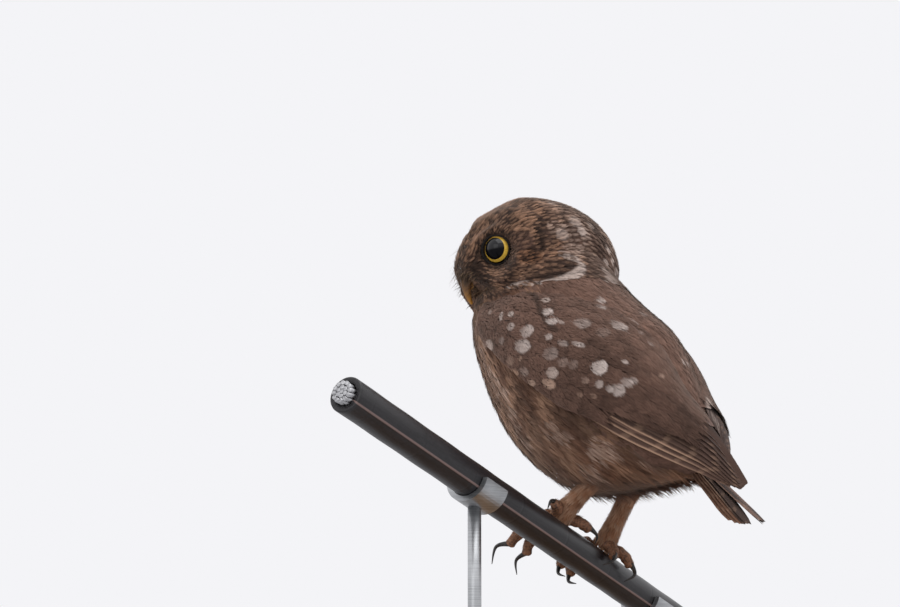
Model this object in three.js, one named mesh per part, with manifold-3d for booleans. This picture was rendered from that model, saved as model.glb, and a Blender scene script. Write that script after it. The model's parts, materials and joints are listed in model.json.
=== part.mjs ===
// A little owl, life size, gripping a short cut length of thick overhead cable, on a plain display stand.
// Millimetres, +Z up. The origin is the middle of the base's underside. The owl's body faces -Y, its left
// side +X, and its head is turned far round to its left. The owl and its perch are placed from OWL_PLACE.
import * as THREE from "three";
import { mergeVertices } from "three/addons/utils/BufferGeometryUtils.js";
import Module from "manifold-3d";

const wasm = await Module();
wasm.setup();

const DEG = Math.PI / 180;
const GAP = 0.35; // what two touching pieces keep between them
const FINEST = 0.02; // edges shorter than this are left out where pieces are joined or cut

// Stand: a flat wooden base with round corners, two steel rods and a half-round saddle on each
const BASE = { length: 216, width: 118, height: 12, corner: 12 };
const ROD = { radius: 3, places: [80, -66] };
const SADDLE = { length: 16, wall: 2.4 };

// The owl's own reference point, a little above the cable's top line between the feet, from the origin
const OWL_PLACE = new THREE.Vector3(-7, -10, 104);

// Perch: a black jacket round a metal core, rising towards the owl's left.
// drop: how far its top line lies under OWL_PLACE
const CABLE = {
  radius: 8,
  coreRadius: 5,
  coreProud: 3,
  slope: 18.4 * DEG,
  left: 176,
  right: -122,
  drop: 4.2,
};

// Head, in a frame of its own: x to its left, y backwards, z up
const HEAD = { centre: [0, -25, 127.5], yaw: 60 * DEG, pitch: 17 * DEG };
const SKULL = {
  width: 32,
  back: 40,
  front: 39.5,
  up: 30.5,
  down: 27,
  nape: 0.25,
  brow: 0.12,
  power: 2.25,
};
const MUZZLE = { direction: [0, -1, 0.06], spread: 16, rise: 3 };
// The face falls back round the bill, which stands clear of it
const BILL_HOLLOW = { direction: [0, -1, -0.34], spread: 21, depth: 9.5 };
const CHEEK = { direction: [0.5, -0.84, 0.15], angle: 42, spread: 9, rise: 1.4 };
const EYE = {
  radius: 7.4,
  opening: 6,
  side: 15.8,
  front: -25,
  up: 9.2,
  turn: 38 * DEG,
  tip: 6 * DEG,
};
const DISC = { inner: 6.5, outer: 15, proud: 0.2 }; // the flat of feathers round each eye
const LID = { radius: 6.75, thickness: 0.95 };
const BILL = {
  front: -29,
  up: 5.5,
  reach: 8.6,
  drop: 12.9,
  width: 8.6,
  bend: 112 * DEG,
  taper: 0.85,
  taperPower: 1.5,
};
// under: how far it lies off the upper half, down and, by lean, back
const LOWER_BILL = {
  under: 4.2, lean: 45 * DEG, share: 0.62, narrower: 0.8, taper: 0.5, taperPower: 1.4,
};
const NOSTRIL = { bend: 52 * DEG, side: 2.9, up: 1.2, radius: 0.75 };

// Torso and neck: at each station the back's and the front's place in the middle plane, and the half
// width. Columns: back y, back z, front y, front z, half width
const TRUNK = [
  [6, 132, -34, 124, 27],
  [17, 117.5, -50, 108, 31.5],
  [33.5, 102, -54, 90, 33.5],
  [50, 87.5, -49, 72, 34.5],
  [60, 69, -40, 54, 34.5],
  [66, 53, -28, 37, 33.5],
  [69, 41, -11, 23, 31],
  [70, 32, 10, 15, 26],
  [70, 27, 33, 15, 18],
  [70, 23, 52, 18, 10],
];
const TRUNK_ENDS = { nape: [0, -2, 6], vent: [0, 4, -1] }; // how far its two ends stand out
const NECK_CUT = { station: 1.35, tilt: 20 * DEG }; // where the neck is parted from the torso

// Left wing: its upper and lower edges, the swell between them and its thickness.
// Columns: upper x, y, z, lower x, y, z, swell, thickness
const WING = [
  [24, -32, 108, 30, -37, 90, 5, 5],
  [16, -6, 116, 37, -15, 71, 13, 8],
  [10, 25, 104, 39, 11, 52.5, 15, 9],
  [8, 49, 84, 38.5, 36, 41.5, 13, 8],
  [7, 63, 60, 33, 62, 30, 9, 6],
  [7, 80, 40, 25.5, 83, 21, 5, 4],
  [10, 95, 20, 16, 96.5, 12, 1.5, 1.8],
];
// The right wing is held further forward and higher, and its tip lies nearer the middle
const RIGHT_TIP = { inward: 13, forward: 17, up: 17, power: 2.4 };

const SWELL_POWER = 0.8;

// What carries the wing's vanes: a rounded pad under the wing's skin, from the bend to past the vanes' roots,
// between the shares from and to of the wing's height. It is sunk less at the bend.
const PAD = {
  sunk: 2,
  sunkAtBend: 0.8,
  end: 0.62,
  from: 0.2,
  to: 0.97,
  thinner: 0.75,
  steps: 12,
  across: 7,
};

// The tiers of a folded wing's vanes, each from the lower edge upwards. s runs from the bend to the tip, t
// from the upper edge to the lower one. root and tip are the first vane's ends as [s, t], and rootStep and
// tipStep how they shift from vane to vane. reach lengthens single vanes. rounds are the shares of a vane's
// length that hold a section.
const TIERS = {
  primaries: {
    root: [0.34, 0.93],
    rootStep: [0, -0.06],
    tip: [0.93, 0.92],
    tipStep: [0, -0.115],
    reach: [0, 0.05, 0.07, 0.055, 0.03, 0, -0.03],
    width: 10.5,
    lift: -1.9,
    tilt: 1.3,
    rounds: [0.05, 0.35, 0.7, 0.93],
  },
  secondaries: {
    root: [0.3, 0.84],
    rootStep: [0, -0.1],
    tip: [0.67, 0.83],
    tipStep: [0.006, -0.11],
    reach: [0, 0.01, 0, 0.015, 0, 0.01, 0],
    width: 11,
    lift: -1.1,
    tilt: 1.3,
    rounds: [0.05, 0.5, 0.92],
  },
  greater_coverts: {
    root: [0.15, 0.86],
    rootStep: [0, -0.11],
    tip: [0.43, 0.92],
    tipStep: [0.008, -0.125],
    reach: [0, 0.01, 0, 0.01, 0, 0.01, 0],
    width: 12.5,
    lift: -0.3,
    tilt: 1.3,
    rounds: [0.05, 0.5, 0.9],
  },
  median_coverts: {
    root: [0.04, 0.8],
    rootStep: [0, -0.13],
    tip: [0.27, 0.86],
    tipStep: [0.008, -0.15],
    reach: [0, 0.01, 0, 0.01, 0],
    width: 14,
    lift: 0.4,
    tilt: 1.3,
    rounds: [0.05, 0.5, 0.9],
  },
  scapulars: {
    root: [0.12, 0.32],
    rootStep: [0.02, -0.09],
    tip: [0.47, 0.34],
    tipStep: [0.05, -0.1],
    reach: [0, 0, 0, 0],
    width: 15,
    lift: 1,
    tilt: 1.2,
    rounds: [0.05, 0.5, 0.9],
  },
};
const VANE = {
  thickness: 1,
  arch: 0.6,
  sunk: 3.2,
  sunkShare: 0.25,
  rootWidth: 0.55,
  widening: 1.6,
  widest: 0.55,
  edgeShares: [0.05, 0.95], // no vane's middle line runs nearer to the wing's edges than this
};
const WING_SPREADS = { length: 0.006, place: 0.012, width: 0.4 };
const WING_SEED = 31;

// Tail: pairs of vanes in an arched fan, the middle pair on top; the outer ones of the left side stand
// apart
const TAIL = { rootY: 61, rootZ: 32.5, tipY: 95, tipZ: 1.5, rootWidth: 4.4, tipWidth: 7.6, pairs: 6 };
const TAIL_VANE = { width: 8, lean: 0.35, tilt: -0.3, shorter: 0.07, rounds: [0.05, 0.5, 0.94] };
const TAIL_FAN = { arch: 1, stack: 0.5, split: 5, splitDrop: 2.5, splitFrom: 1, back: 1 };
const TAIL_BUD = { width: 5.5, length: 9, height: 4.2, ahead: 8, under: 2.5 };
const TAIL_SPREADS = { length: 0.012, width: 0.3 };
const TAIL_SEED = 5;

// Legs and feet. A toe's or claw's path is a list of [x, angle round the cable from its top towards the owl's
// back, distance off the cable's skin]; an ankle is one such place, and a hock is a point of its own, inside
// the belly.
const SHIN = { top: 5.6, waist: 1.5, waistAt: 0.55, waistEnd: 0.9 };
const TOE = { radius: 3.1, taper: 0.22 };
const CLAW = { radius: 1.55, taper: 0.88, taperPower: 0.8 };
const BLUNTNESS = 0.6; // how far a tube's round end stands out, as a share of its radius
const FEET = {
  left: {
    ankle: [17.5, 0.2, 5.2],
    hock: [16.5, 25, 25],
    toes: [
      {
        path: [[14, 0.1, 3.2], [8, 0.45, 4.6], [2, 0.5, 4.4]],
        claw: [[1.2, 0.5, 5.2], [-4.6, 0.62, 4.2], [-6.6, 0.7, 0.6]],
      },
      {
        path: [[16, -0.3, 3.2], [15.5, -1.1, 4.2], [15, -1.65, 7.5], [14.5, -1.9, 9]],
        claw: [[14.5, -1.88, 8.5], [13.8, -1.95, 15.5], [12.5, -2.2, 18]],
      },
      {
        path: [[20, -0.3, 3.2], [22, -1.1, 4.6], [23, -1.6, 9], [23.5, -1.8, 12]],
        claw: [[23.5, -1.8, 11.4], [24.5, -1.8, 19], [23.8, -2.05, 23]],
      },
      {
        path: [[20, 0.1, 3.4], [25, 0.3, 5], [28, 0.35, 5]],
        claw: [[27.6, 0.3, 6], [31.5, 0.35, 5], [32.5, 0.5, 0.8]],
      },
    ],
  },
  right: {
    ankle: [-17.5, 0.3, 5.2],
    hock: [-17.5, 21, 22],
    toes: [
      {
        path: [[-16, 0.3, 3.2], [-15, 0.9, 4.2], [-14, 1.3, 4]],
        claw: [[-14, 1.25, 5], [-12, 1.55, 5], [-9.5, 1.85, 2]],
      },
      {
        path: [[-14, -0.3, 3.2], [-10, -1, 3.6], [-7, -1.6, 3.6], [-6, -1.9, 3.4]],
        claw: [[-6, -1.85, 4.2], [-5, -2.2, 5.6], [-4, -2.6, 3.8]],
      },
      {
        path: [[-18, -0.3, 3.2], [-16, -1, 3.6], [-14.5, -1.6, 3.6], [-14, -2, 3.4]],
        claw: [[-14, -1.95, 4.2], [-13, -2.3, 5.6], [-12, -2.7, 3.8]],
      },
      {
        path: [[-20, 0.3, 3.2], [-24, 0.9, 4.6], [-28, 1.2, 4.4]],
        claw: [[-27.4, 1.2, 5.4], [-31.5, 1.5, 5], [-30, 1.9, 1.4]],
      },
    ],
  },
};

// How finely the round forms are divided
const FINE = {
  skullRows: 19,
  skullSides: 32,
  eyeSides: 16,
  eyeRows: 10,
  lidSides: 18,
  lidTube: 5,
  billSides: 8,
  billSteps: 8,
  nostrilSides: 8,
  trunkSteps: 21,
  trunkSides: 24,
  budSides: 12,
  shinSides: 10,
  shinSteps: 8,
  toeSides: 7,
  toeSteps: 6,
  clawSides: 6,
  clawSteps: 5,
  cableSides: 48,
  coreSides: 32,
  rodSides: 24,
  cornerSides: 6,
};

// Colour, roughness and metalness of each kind of surface
const LOOKS = {
  plumage: [0x6b5243, 0.95, 0],
  belly: [0x85705f, 0.95, 0],
  bill: [0xa8894a, 0.45, 0],
  eye: [0xd8b13a, 0.1, 0],
  toes: [0x7a5f48, 0.8, 0],
  claw: [0x2b2523, 0.35, 0],
  cable: [0x232224, 0.4, 0],
  conductor: [0xb9bab8, 0.35, 1],
  wood: [0x9b7a55, 0.6, 0],
  steel: [0x8e9092, 0.3, 1],
};

// Solids from geometry and back

function solidOf(geometry) {
  const bare = geometry.clone();
  bare.deleteAttribute("normal");
  bare.deleteAttribute("uv");
  const merged = mergeVertices(bare, 1e-4);
  return new wasm.Manifold(
    new wasm.Mesh({
      numProp: 3,
      vertProperties: merged.attributes.position.array,
      triVerts: new Uint32Array(merged.index.array),
      tolerance: FINEST,
    }),
  );
}

function geometryOf(solid) {
  const mesh = solid.getMesh();
  const positions = new Float32Array(mesh.numVert * 3);
  for (let i = 0; i < mesh.numVert; i++)
    positions.set(mesh.vertProperties.subarray(i * mesh.numProp, i * mesh.numProp + 3), i * 3);
  const geometry = new THREE.BufferGeometry();
  geometry.setAttribute("position", new THREE.BufferAttribute(positions, 3));
  geometry.setIndex(new THREE.BufferAttribute(mesh.triVerts, 1));
  geometry.computeVertexNormals();
  return geometry;
}

const bigger = (one, other) => (one.volume() >= other.volume() ? one : other);
const largest = (solid) => solid.decompose().reduce(bigger);
const union = (solids) => solids.reduce((all, one) => all.add(one));
const moved = (solid, matrix) => solid.transform(matrix.elements);
const vector = (list) => new THREE.Vector3(...list);

// A closed body from rings of points, each ring closed on itself, with a pole at each end. In a thin body the
// second half of each ring lies behind the first half, and its quads are parted along the same diagonals.
function loft(rings, firstPole, lastPole, thin = false) {
  const sides = rings[0].length;
  const first = rings.length * sides;
  const last = first + 1;
  const positions = [...rings.flat(), firstPole, lastPole].flatMap((p) => [p.x, p.y, p.z]);
  const faces = [];
  for (let i = 0; i < rings.length - 1; i++)
    for (let j = 0; j < sides; j++) {
      const k = (j + 1) % sides;
      const [a, b, c, d] = [i * sides + j, i * sides + k, (i + 1) * sides + j, (i + 1) * sides + k];
      if (thin && j >= sides / 2) faces.push([a, b, c], [b, d, c]);
      else faces.push([a, b, d], [a, d, c]);
    }
  for (let j = 0; j < sides; j++) {
    const k = (j + 1) % sides;
    faces.push([first, k, j], [last, first - sides + j, first - sides + k]);
  }
  const geometry = new THREE.BufferGeometry();
  geometry.setAttribute("position", new THREE.Float32BufferAttribute(positions, 3));
  geometry.setIndex(faces.flat());
  const solid = solidOf(geometry);
  if (solid.volume() > 0) return solid;
  geometry.setIndex(faces.map(([a, b, c]) => [a, c, b]).flat());
  return solidOf(geometry);
}

// Values between the rows of a table, on a smooth curve through them.
function between(table, u) {
  const last = table.length - 1;
  const i = Math.min(Math.floor(u), last - 1);
  const row = (k) => table[Math.max(0, Math.min(last, k))];
  const near = [row(i - 1), row(i), row(i + 1), row(i + 2)];
  const curve = (k) => new THREE.SplineCurve(near.map((values, n) => new THREE.Vector2(n, values[k])));
  return near[0].map((_, k) => curve(k).getPoint((1 + u - i) / 3).y);
}

// A tube along a smooth curve through points, its radius a function of the share of the way, with blunt ends.
function tube(points, radiusAt, sides, steps) {
  const curve = new THREE.CatmullRomCurve3(points);
  const frames = curve.computeFrenetFrames(steps, false);
  const rings = [];
  for (let i = 0; i <= steps; i++) {
    const radius = radiusAt(i / steps);
    const ring = [];
    for (let j = 0; j < sides; j++) {
      const angle = (j / sides) * 2 * Math.PI;
      ring.push(
        curve.getPointAt(i / steps).addScaledVector(frames.normals[i], Math.cos(angle) * radius)
          .addScaledVector(frames.binormals[i], Math.sin(angle) * radius),
      );
    }
    rings.push(ring);
  }
  const start = curve.getPointAt(0).addScaledVector(frames.tangents[0], -BLUNTNESS * radiusAt(0));
  const end = curve.getPointAt(1).addScaledVector(frames.tangents[steps], BLUNTNESS * radiusAt(1));
  return loft(rings, start, end);
}

// A seeded draw: each call gives a value between -spread and spread, the same on every run.
function seeded(seed) {
  const [factor, step, range] = [1103515245, 12345, 2147483648];
  let state = seed;
  return (spread) => {
    state = (state * factor + step) % range;
    return spread * ((state / range) * 2 - 1);
  };
}

// Torso and neck: ellipses across the body, from the nape to the vent

function trunkPoint(station, angle, grow) {
  const [backY, backZ, frontY, frontZ, halfWidth] = between(TRUNK, station);
  const back = new THREE.Vector3(0, backY, backZ);
  const front = new THREE.Vector3(0, frontY, frontZ);
  const half = back.distanceTo(front) / 2;
  const up = back.clone().sub(front).normalize();
  return back.lerp(front, 0.5)
    .addScaledVector(up, (half + grow) * Math.cos(angle))
    .add(new THREE.Vector3((halfWidth + grow) * Math.sin(angle), 0, 0));
}

const trunkMiddle = (station) => trunkPoint(station, 0, 0).lerp(trunkPoint(station, Math.PI, 0), 0.5);

function trunk(grow) {
  const last = TRUNK.length - 1;
  const rings = [];
  for (let i = 0; i <= FINE.trunkSteps; i++) {
    const ring = [];
    for (let j = 0; j < FINE.trunkSides; j++)
      ring.push(trunkPoint((i / FINE.trunkSteps) * last, (j / FINE.trunkSides) * 2 * Math.PI, grow));
    rings.push(ring);
  }
  const nape = trunkMiddle(0).add(vector(TRUNK_ENDS.nape)).add(new THREE.Vector3(0, 0, grow));
  const vent = trunkMiddle(last).add(vector(TRUNK_ENDS.vent)).add(new THREE.Vector3(0, grow, 0));
  return loft(rings, nape, vent);
}

// Head

const headMatrix = new THREE.Matrix4()
  .makeTranslation(...HEAD.centre)
  .multiply(new THREE.Matrix4().makeRotationZ(HEAD.yaw))
  .multiply(new THREE.Matrix4().makeRotationX(HEAD.pitch));
const eyePlace = new THREE.Vector3(EYE.side, EYE.front, EYE.up);
const eyeLook = new THREE.Vector3(
  Math.sin(EYE.turn) * Math.cos(EYE.tip), -Math.cos(EYE.turn) * Math.cos(EYE.tip), Math.sin(EYE.tip),
);
const muzzle = vector(MUZZLE.direction).normalize();
const cheek = vector(CHEEK.direction).normalize();
const billHollow = vector(BILL_HOLLOW.direction).normalize();

// The plumage's surface in a direction from the head's middle: a rounded egg, hung back to the nape, with a
// muzzle of bristles round the bill, a rim of cheek feathers, and a flat round each eye that the lids lie on.
function skullRadius(direction) {
  const { x, y, z } = direction;
  const { power } = SKULL;
  const sunk = z + SKULL.nape * Math.max(0, y) - SKULL.brow * Math.min(0, y);
  const depth = y > 0 ? SKULL.back : SKULL.front;
  const height = sunk > 0 ? SKULL.up : SKULL.down;
  const part = (value, size) => Math.abs(value / size) ** power;
  const egg = part(x, SKULL.width) + part(y, depth) + part(sunk, height);
  const mirrored = new THREE.Vector3(Math.abs(x), y, z);
  const fromMuzzle = direction.angleTo(muzzle) / DEG;
  const fromCheek = mirrored.angleTo(cheek) / DEG;
  const fromHollow = direction.angleTo(billHollow) / DEG;
  const radius =
    egg ** (-1 / power) +
    MUZZLE.rise * Math.exp(-((fromMuzzle / MUZZLE.spread) ** 2)) +
    CHEEK.rise * Math.exp(-(((fromCheek - CHEEK.angle) / CHEEK.spread) ** 2)) -
    BILL_HOLLOW.depth * Math.exp(-((fromHollow / BILL_HOLLOW.spread) ** 2));
  const toDisc = eyePlace.dot(eyeLook) / mirrored.dot(eyeLook);
  if (toDisc < 0) return radius;
  const off = mirrored.multiplyScalar(toDisc).distanceTo(eyePlace);
  const flat = 1 - THREE.MathUtils.smoothstep(off, DISC.inner, DISC.outer);
  return radius + (toDisc + DISC.proud - radius) * flat;
}

function skull(grow) {
  const { skullRows: rows, skullSides: sides } = FINE;
  const place = (polar, angle) => {
    const direction = new THREE.Vector3(
      Math.sin(polar) * Math.sin(angle), -Math.sin(polar) * Math.cos(angle), Math.cos(polar),
    );
    return direction.clone().multiplyScalar(skullRadius(direction) + grow);
  };
  const rings = [];
  for (let i = 1; i < rows; i++) {
    const ring = [];
    for (let j = 0; j < sides; j++) ring.push(place((i / rows) * Math.PI, (j / sides) * 2 * Math.PI));
    rings.push(ring);
  }
  return loft(rings, place(0, 0), place(Math.PI, 0));
}

// An eye's frame in the head's frame: z runs out along the way it looks, and the lids' opening lies at z = 0.
function eyeMatrix(side) {
  const look = new THREE.Vector3(side * eyeLook.x, eyeLook.y, eyeLook.z);
  const turn = new THREE.Quaternion().setFromUnitVectors(new THREE.Vector3(0, 0, 1), look);
  const place = new THREE.Vector3(side * EYE.side, EYE.front, EYE.up);
  return new THREE.Matrix4().compose(place, turn, new THREE.Vector3(1, 1, 1));
}

function eyeball(side, grow) {
  const sink = Math.sqrt(EYE.radius ** 2 - EYE.opening ** 2);
  const ball = new THREE.SphereGeometry(EYE.radius + grow, FINE.eyeSides, FINE.eyeRows);
  return moved(solidOf(ball.rotateX(Math.PI / 2).translate(0, 0, -sink)), eyeMatrix(side));
}

function lids(side) {
  const ring = new THREE.TorusGeometry(LID.radius, LID.thickness, FINE.lidTube, FINE.lidSides);
  return moved(solidOf(ring), eyeMatrix(side));
}

// Bill: a hooked upper half over a lower one, both along an arc that turns down and back
function billPoint(bend, under) {
  const back = under * Math.sin(LOWER_BILL.lean);
  const down = under * Math.cos(LOWER_BILL.lean);
  const z = BILL.up - down - BILL.drop * (1 - Math.cos(bend));
  return new THREE.Vector3(0, BILL.front + back - BILL.reach * Math.sin(bend), z);
}

function billHalf(under, share, radiusAt) {
  const points = [];
  for (let i = 0; i <= FINE.billSteps; i++)
    points.push(billPoint((i / FINE.billSteps) * share * BILL.bend, under));
  return tube(points, radiusAt, FINE.billSides, FINE.billSteps);
}

function upperBill(grow) {
  const { width, taper, taperPower } = BILL;
  return billHalf(0, 1, (share) => grow + (width / 2) * (1 - taper * share ** taperPower));
}

function lowerBill(grow) {
  const { under, share, narrower, taper, taperPower } = LOWER_BILL;
  const radiusAt = (along) => grow + (BILL.width / 2 - narrower) * (1 - taper * along ** taperPower);
  return billHalf(under, share, radiusAt);
}

function nostrils() {
  const middle = billPoint(NOSTRIL.bend, -NOSTRIL.up);
  const pit = (side) => {
    const round = new THREE.SphereGeometry(NOSTRIL.radius, FINE.nostrilSides, FINE.nostrilSides - 2);
    return solidOf(round.translate(side * NOSTRIL.side, middle.y, middle.z));
  };
  return union([pit(1), pit(-1)]);
}

// Wings

function wingRow(side, s) {
  const row = between(WING, s * (WING.length - 1));
  const held = side > 0 ? 0 : s ** RIGHT_TIP.power;
  const shift = new THREE.Vector3(RIGHT_TIP.inward, -RIGHT_TIP.forward, RIGHT_TIP.up).multiplyScalar(held);
  return {
    upper: new THREE.Vector3(row[0] * side, row[1], row[2]).add(shift),
    lower: new THREE.Vector3(row[3] * side, row[4], row[5]).add(shift),
    swell: row[6],
    thickness: row[7],
  };
}

const NEAR = 0.02; // the step in s and t over which a slope is taken

// A point of a wing's skin, bowed out between the edges, and lifted off it by a given amount
function wingPoint(side, s, t, lift = 0) {
  const { upper, lower, swell } = wingRow(side, s);
  const across = lower.clone().sub(upper);
  const back = wingRow(side, Math.min(1, s + NEAR)).upper.sub(wingRow(side, Math.max(0, s - NEAR)).upper);
  const out = across.clone().cross(back).normalize();
  if (out.x * side < 0) out.negate();
  const bow = swell * Math.sin(Math.PI * t) ** SWELL_POWER;
  return upper.addScaledVector(across, t).addScaledVector(out, bow + lift);
}

// The skin's point with the way out of it and the way down it, towards the lower edge
function wingFrame(side, s, t) {
  const along = wingPoint(side, Math.min(1, s + NEAR), t).sub(wingPoint(side, Math.max(0, s - NEAR), t));
  const [above, below] = [Math.max(NEAR / 2, t - NEAR), Math.min(1 - NEAR / 2, t + NEAR)];
  const down = wingPoint(side, s, below).sub(wingPoint(side, s, above));
  const out = down.clone().cross(along).normalize();
  if (out.x * side < 0) out.negate();
  return { point: wingPoint(side, s, t), out, down };
}

function wingPad(side) {
  const rings = [];
  for (let i = 0; i <= PAD.steps; i++) {
    const s = (i / PAD.steps) * PAD.end;
    const outer = -THREE.MathUtils.lerp(PAD.sunkAtBend, PAD.sunk, Math.min(1, 4 * s));
    const inner = -PAD.sunk - wingRow(side, s).thickness * (1 - PAD.thinner * (i / PAD.steps) ** 3);
    const places = [];
    for (let j = 0; j <= PAD.across; j++)
      places.push(THREE.MathUtils.lerp(PAD.from, PAD.to, j / PAD.across));
    const face = places.map((t) => wingPoint(side, s, t, outer));
    const lining = places.reverse().map((t) => wingPoint(side, s, t, inner));
    rings.push([...face, ...lining]);
  }
  const middle = (s) => wingPoint(side, s, 0.5, -PAD.sunk - 0.3 * wingRow(side, s).thickness);
  return loft(rings, middle(0).add(new THREE.Vector3(0, -3, 0)), middle(PAD.end + 0.03));
}

// One feather's vane: a thin blade, arched over its shaft, with a round tip. at(share) gives the place along
// the shaft and the ways out and down. tilt lifts its lower edge, and the root is sunk into what carries it.
function vane(at, { width, lift, tilt, sunk, rounds }) {
  const { thickness, arch, sunkShare, rootWidth, widening, widest } = VANE;
  const section = (share) => {
    const here = at(share);
    const ahead = at(Math.min(1, share + 0.03)).point.sub(at(Math.max(0, share - 0.03)).point).normalize();
    const across = here.out.clone().cross(ahead).normalize();
    if (across.dot(here.down) < 0) across.negate();
    const rise = lift - sunk * Math.max(0, 1 - share / sunkShare);
    return { centre: here.point.addScaledVector(here.out, rise), across, out: here.out };
  };
  const rings = rounds.map((share) => {
    const { centre, across, out } = section(share);
    const past = Math.max(0, (share - widest) / (1.05 - widest));
    const full = Math.min(1, rootWidth + widening * share) * Math.sqrt(1 - past ** 4);
    const point = (q, depth) =>
      centre.clone().addScaledVector(across, width * full * q)
        .addScaledVector(out, tilt * q * full + thickness * arch * (1 - 4 * q * q) - depth);
    const face = [-0.5, 0, 0.5];
    return [...face.map((q) => point(q, 0)), ...face.reverse().map((q) => point(q, thickness))];
  });
  const pole = (share) => {
    const { centre, out } = section(share);
    return centre.addScaledVector(out, -thickness / 4);
  };
  return loft(rings, pole(0), pole(1), true);
}

function wing(side) {
  const draw = seeded(WING_SEED);
  const vanes = Object.values(TIERS).flatMap((tier) =>
    tier.reach.map((reach, k) => {
      const place = (end, step) => [tier[end][0] + k * tier[step][0], tier[end][1] + k * tier[step][1]];
      const [rootS, rootT] = place("root", "rootStep");
      const [tipS, tipT] = place("tip", "tipStep");
      const lastS = Math.min(1, tipS + reach + draw(WING_SPREADS.length));
      const lastT = THREE.MathUtils.clamp(tipT + draw(WING_SPREADS.place), ...VANE.edgeShares);
      const at = (share) => {
        const bent = THREE.MathUtils.smoothstep(share, 0, 1);
        return wingFrame(side, rootS + (lastS - rootS) * share, rootT + (lastT - rootT) * bent);
      };
      return vane(at, { ...tier, width: tier.width + draw(WING_SPREADS.width), sunk: VANE.sunk });
    }),
  );
  return union([wingPad(side), ...vanes]);
}

// Tail

function tail() {
  const draw = seeded(TAIL_SEED);
  const root = new THREE.Vector3(0, TAIL.rootY, TAIL.rootZ);
  const tip = new THREE.Vector3(0, TAIL.tipY, TAIL.tipZ);
  const axis = tip.clone().sub(root).normalize();
  const out = axis.clone().cross(new THREE.Vector3(-1, 0, 0)).normalize();
  if (out.z < 0) out.negate();
  const vanes = [];
  for (let k = 0; k < TAIL.pairs * 2; k++) {
    const side = k % 2 ? 1 : -1;
    const rank = Math.floor(k / 2) + 0.5;
    const spread = side * (rank / TAIL.pairs);
    const apart = side > 0 && rank > TAIL_FAN.splitFrom;
    const shift = apart ? TAIL_FAN.split : -TAIL_FAN.back;
    const length = 1 - TAIL_VANE.shorter * spread * spread + draw(TAIL_SPREADS.length);
    const at = (share) => {
      const width = THREE.MathUtils.lerp(TAIL.rootWidth, TAIL.tipWidth, share);
      const x = spread * width + shift * share * share;
      const drop = apart ? TAIL_FAN.splitDrop * share * share : 0;
      const under = TAIL_FAN.arch * spread * spread + TAIL_FAN.stack * rank + drop;
      const point = root.clone().lerp(tip, share * length).setX(x).addScaledVector(out, -under);
      const leaning = out.clone().add(new THREE.Vector3(spread * TAIL_VANE.lean, 0, 0)).normalize();
      return { point, out: leaning, down: new THREE.Vector3(side, 0, 0) };
    };
    const { width, tilt, rounds } = TAIL_VANE;
    vanes.push(vane(at, { width: width + draw(TAIL_SPREADS.width), lift: 0, tilt, sunk: 0, rounds }));
  }
  const round = new THREE.SphereGeometry(1, FINE.budSides, FINE.budSides - 4);
  const bud = solidOf(round.scale(TAIL_BUD.width, TAIL_BUD.length, TAIL_BUD.height));
  const place = root.clone().addScaledVector(axis, TAIL_BUD.ahead).addScaledVector(out, -TAIL_BUD.under);
  const lie = new THREE.Matrix4().makeRotationX(Math.atan2(axis.z, axis.y)).setPosition(place);
  return union([moved(bud, lie), ...vanes]);
}

// Perch

const cableUp = new THREE.Vector3(-Math.sin(CABLE.slope), 0, Math.cos(CABLE.slope));
const cableAlong = new THREE.Vector3(Math.cos(CABLE.slope), 0, Math.sin(CABLE.slope));

// The cable's axis where it passes a given x
function cableAxis(x) {
  return cableAlong.clone().multiplyScalar(x / Math.cos(CABLE.slope))
    .addScaledVector(cableUp, -CABLE.radius)
    .add(new THREE.Vector3(0, 0, -CABLE.drop));
}

function byCable([x, angle, off]) {
  const reach = CABLE.radius + off;
  return cableAxis(x)
    .addScaledVector(cableUp, Math.cos(angle) * reach)
    .add(new THREE.Vector3(0, Math.sin(angle) * reach, 0));
}

function cableRound(radius, left, right, sides) {
  const middle = cableAxis((left + right) / 2);
  const round = new THREE.CylinderGeometry(radius, radius, (left - right) / Math.cos(CABLE.slope), sides);
  return solidOf(round.rotateZ(-Math.PI / 2).rotateY(-CABLE.slope).translate(middle.x, middle.y, middle.z));
}

// Legs

function shin(foot, grow) {
  const hock = vector(foot.hock);
  const ankle = byCable(foot.ankle);
  const radiusAt = (share) => grow + SHIN.top - SHIN.waist * Math.sin(SHIN.waistEnd * Math.PI * share);
  const middle = hock.clone().lerp(ankle, SHIN.waistAt);
  return tube([hock, middle, ankle], radiusAt, FINE.shinSides, FINE.shinSteps);
}

function toe(digit, grow) {
  const radiusAt = (share) => grow + TOE.radius * (1 - TOE.taper * share);
  return tube(digit.path.map(byCable), radiusAt, FINE.toeSides, FINE.toeSteps);
}

function claw(digit) {
  const radiusAt = (share) => CLAW.radius * (1 - CLAW.taper * share ** CLAW.taperPower);
  return tube(digit.claw.map(byCable), radiusAt, FINE.clawSides, FINE.clawSteps);
}

// Stand

function baseBoard() {
  const { length, width, height, corner } = BASE;
  const [l, w] = [length / 2 - corner, width / 2 - corner];
  const outline = new THREE.Shape();
  outline.absarc(l, -w, corner, -90 * DEG, 0);
  outline.absarc(l, w, corner, 0, 90 * DEG);
  outline.absarc(-l, w, corner, 90 * DEG, 180 * DEG);
  outline.absarc(-l, -w, corner, 180 * DEG, 270 * DEG);
  const options = { depth: height, bevelEnabled: false, curveSegments: FINE.cornerSides };
  return solidOf(new THREE.ExtrudeGeometry(outline, options));
}

// Each piece becomes one named mesh of its largest body, in its own colours.

const owl = new THREE.Group();
const stand = new THREE.Group();
owl.position.copy(OWL_PLACE);

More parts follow.
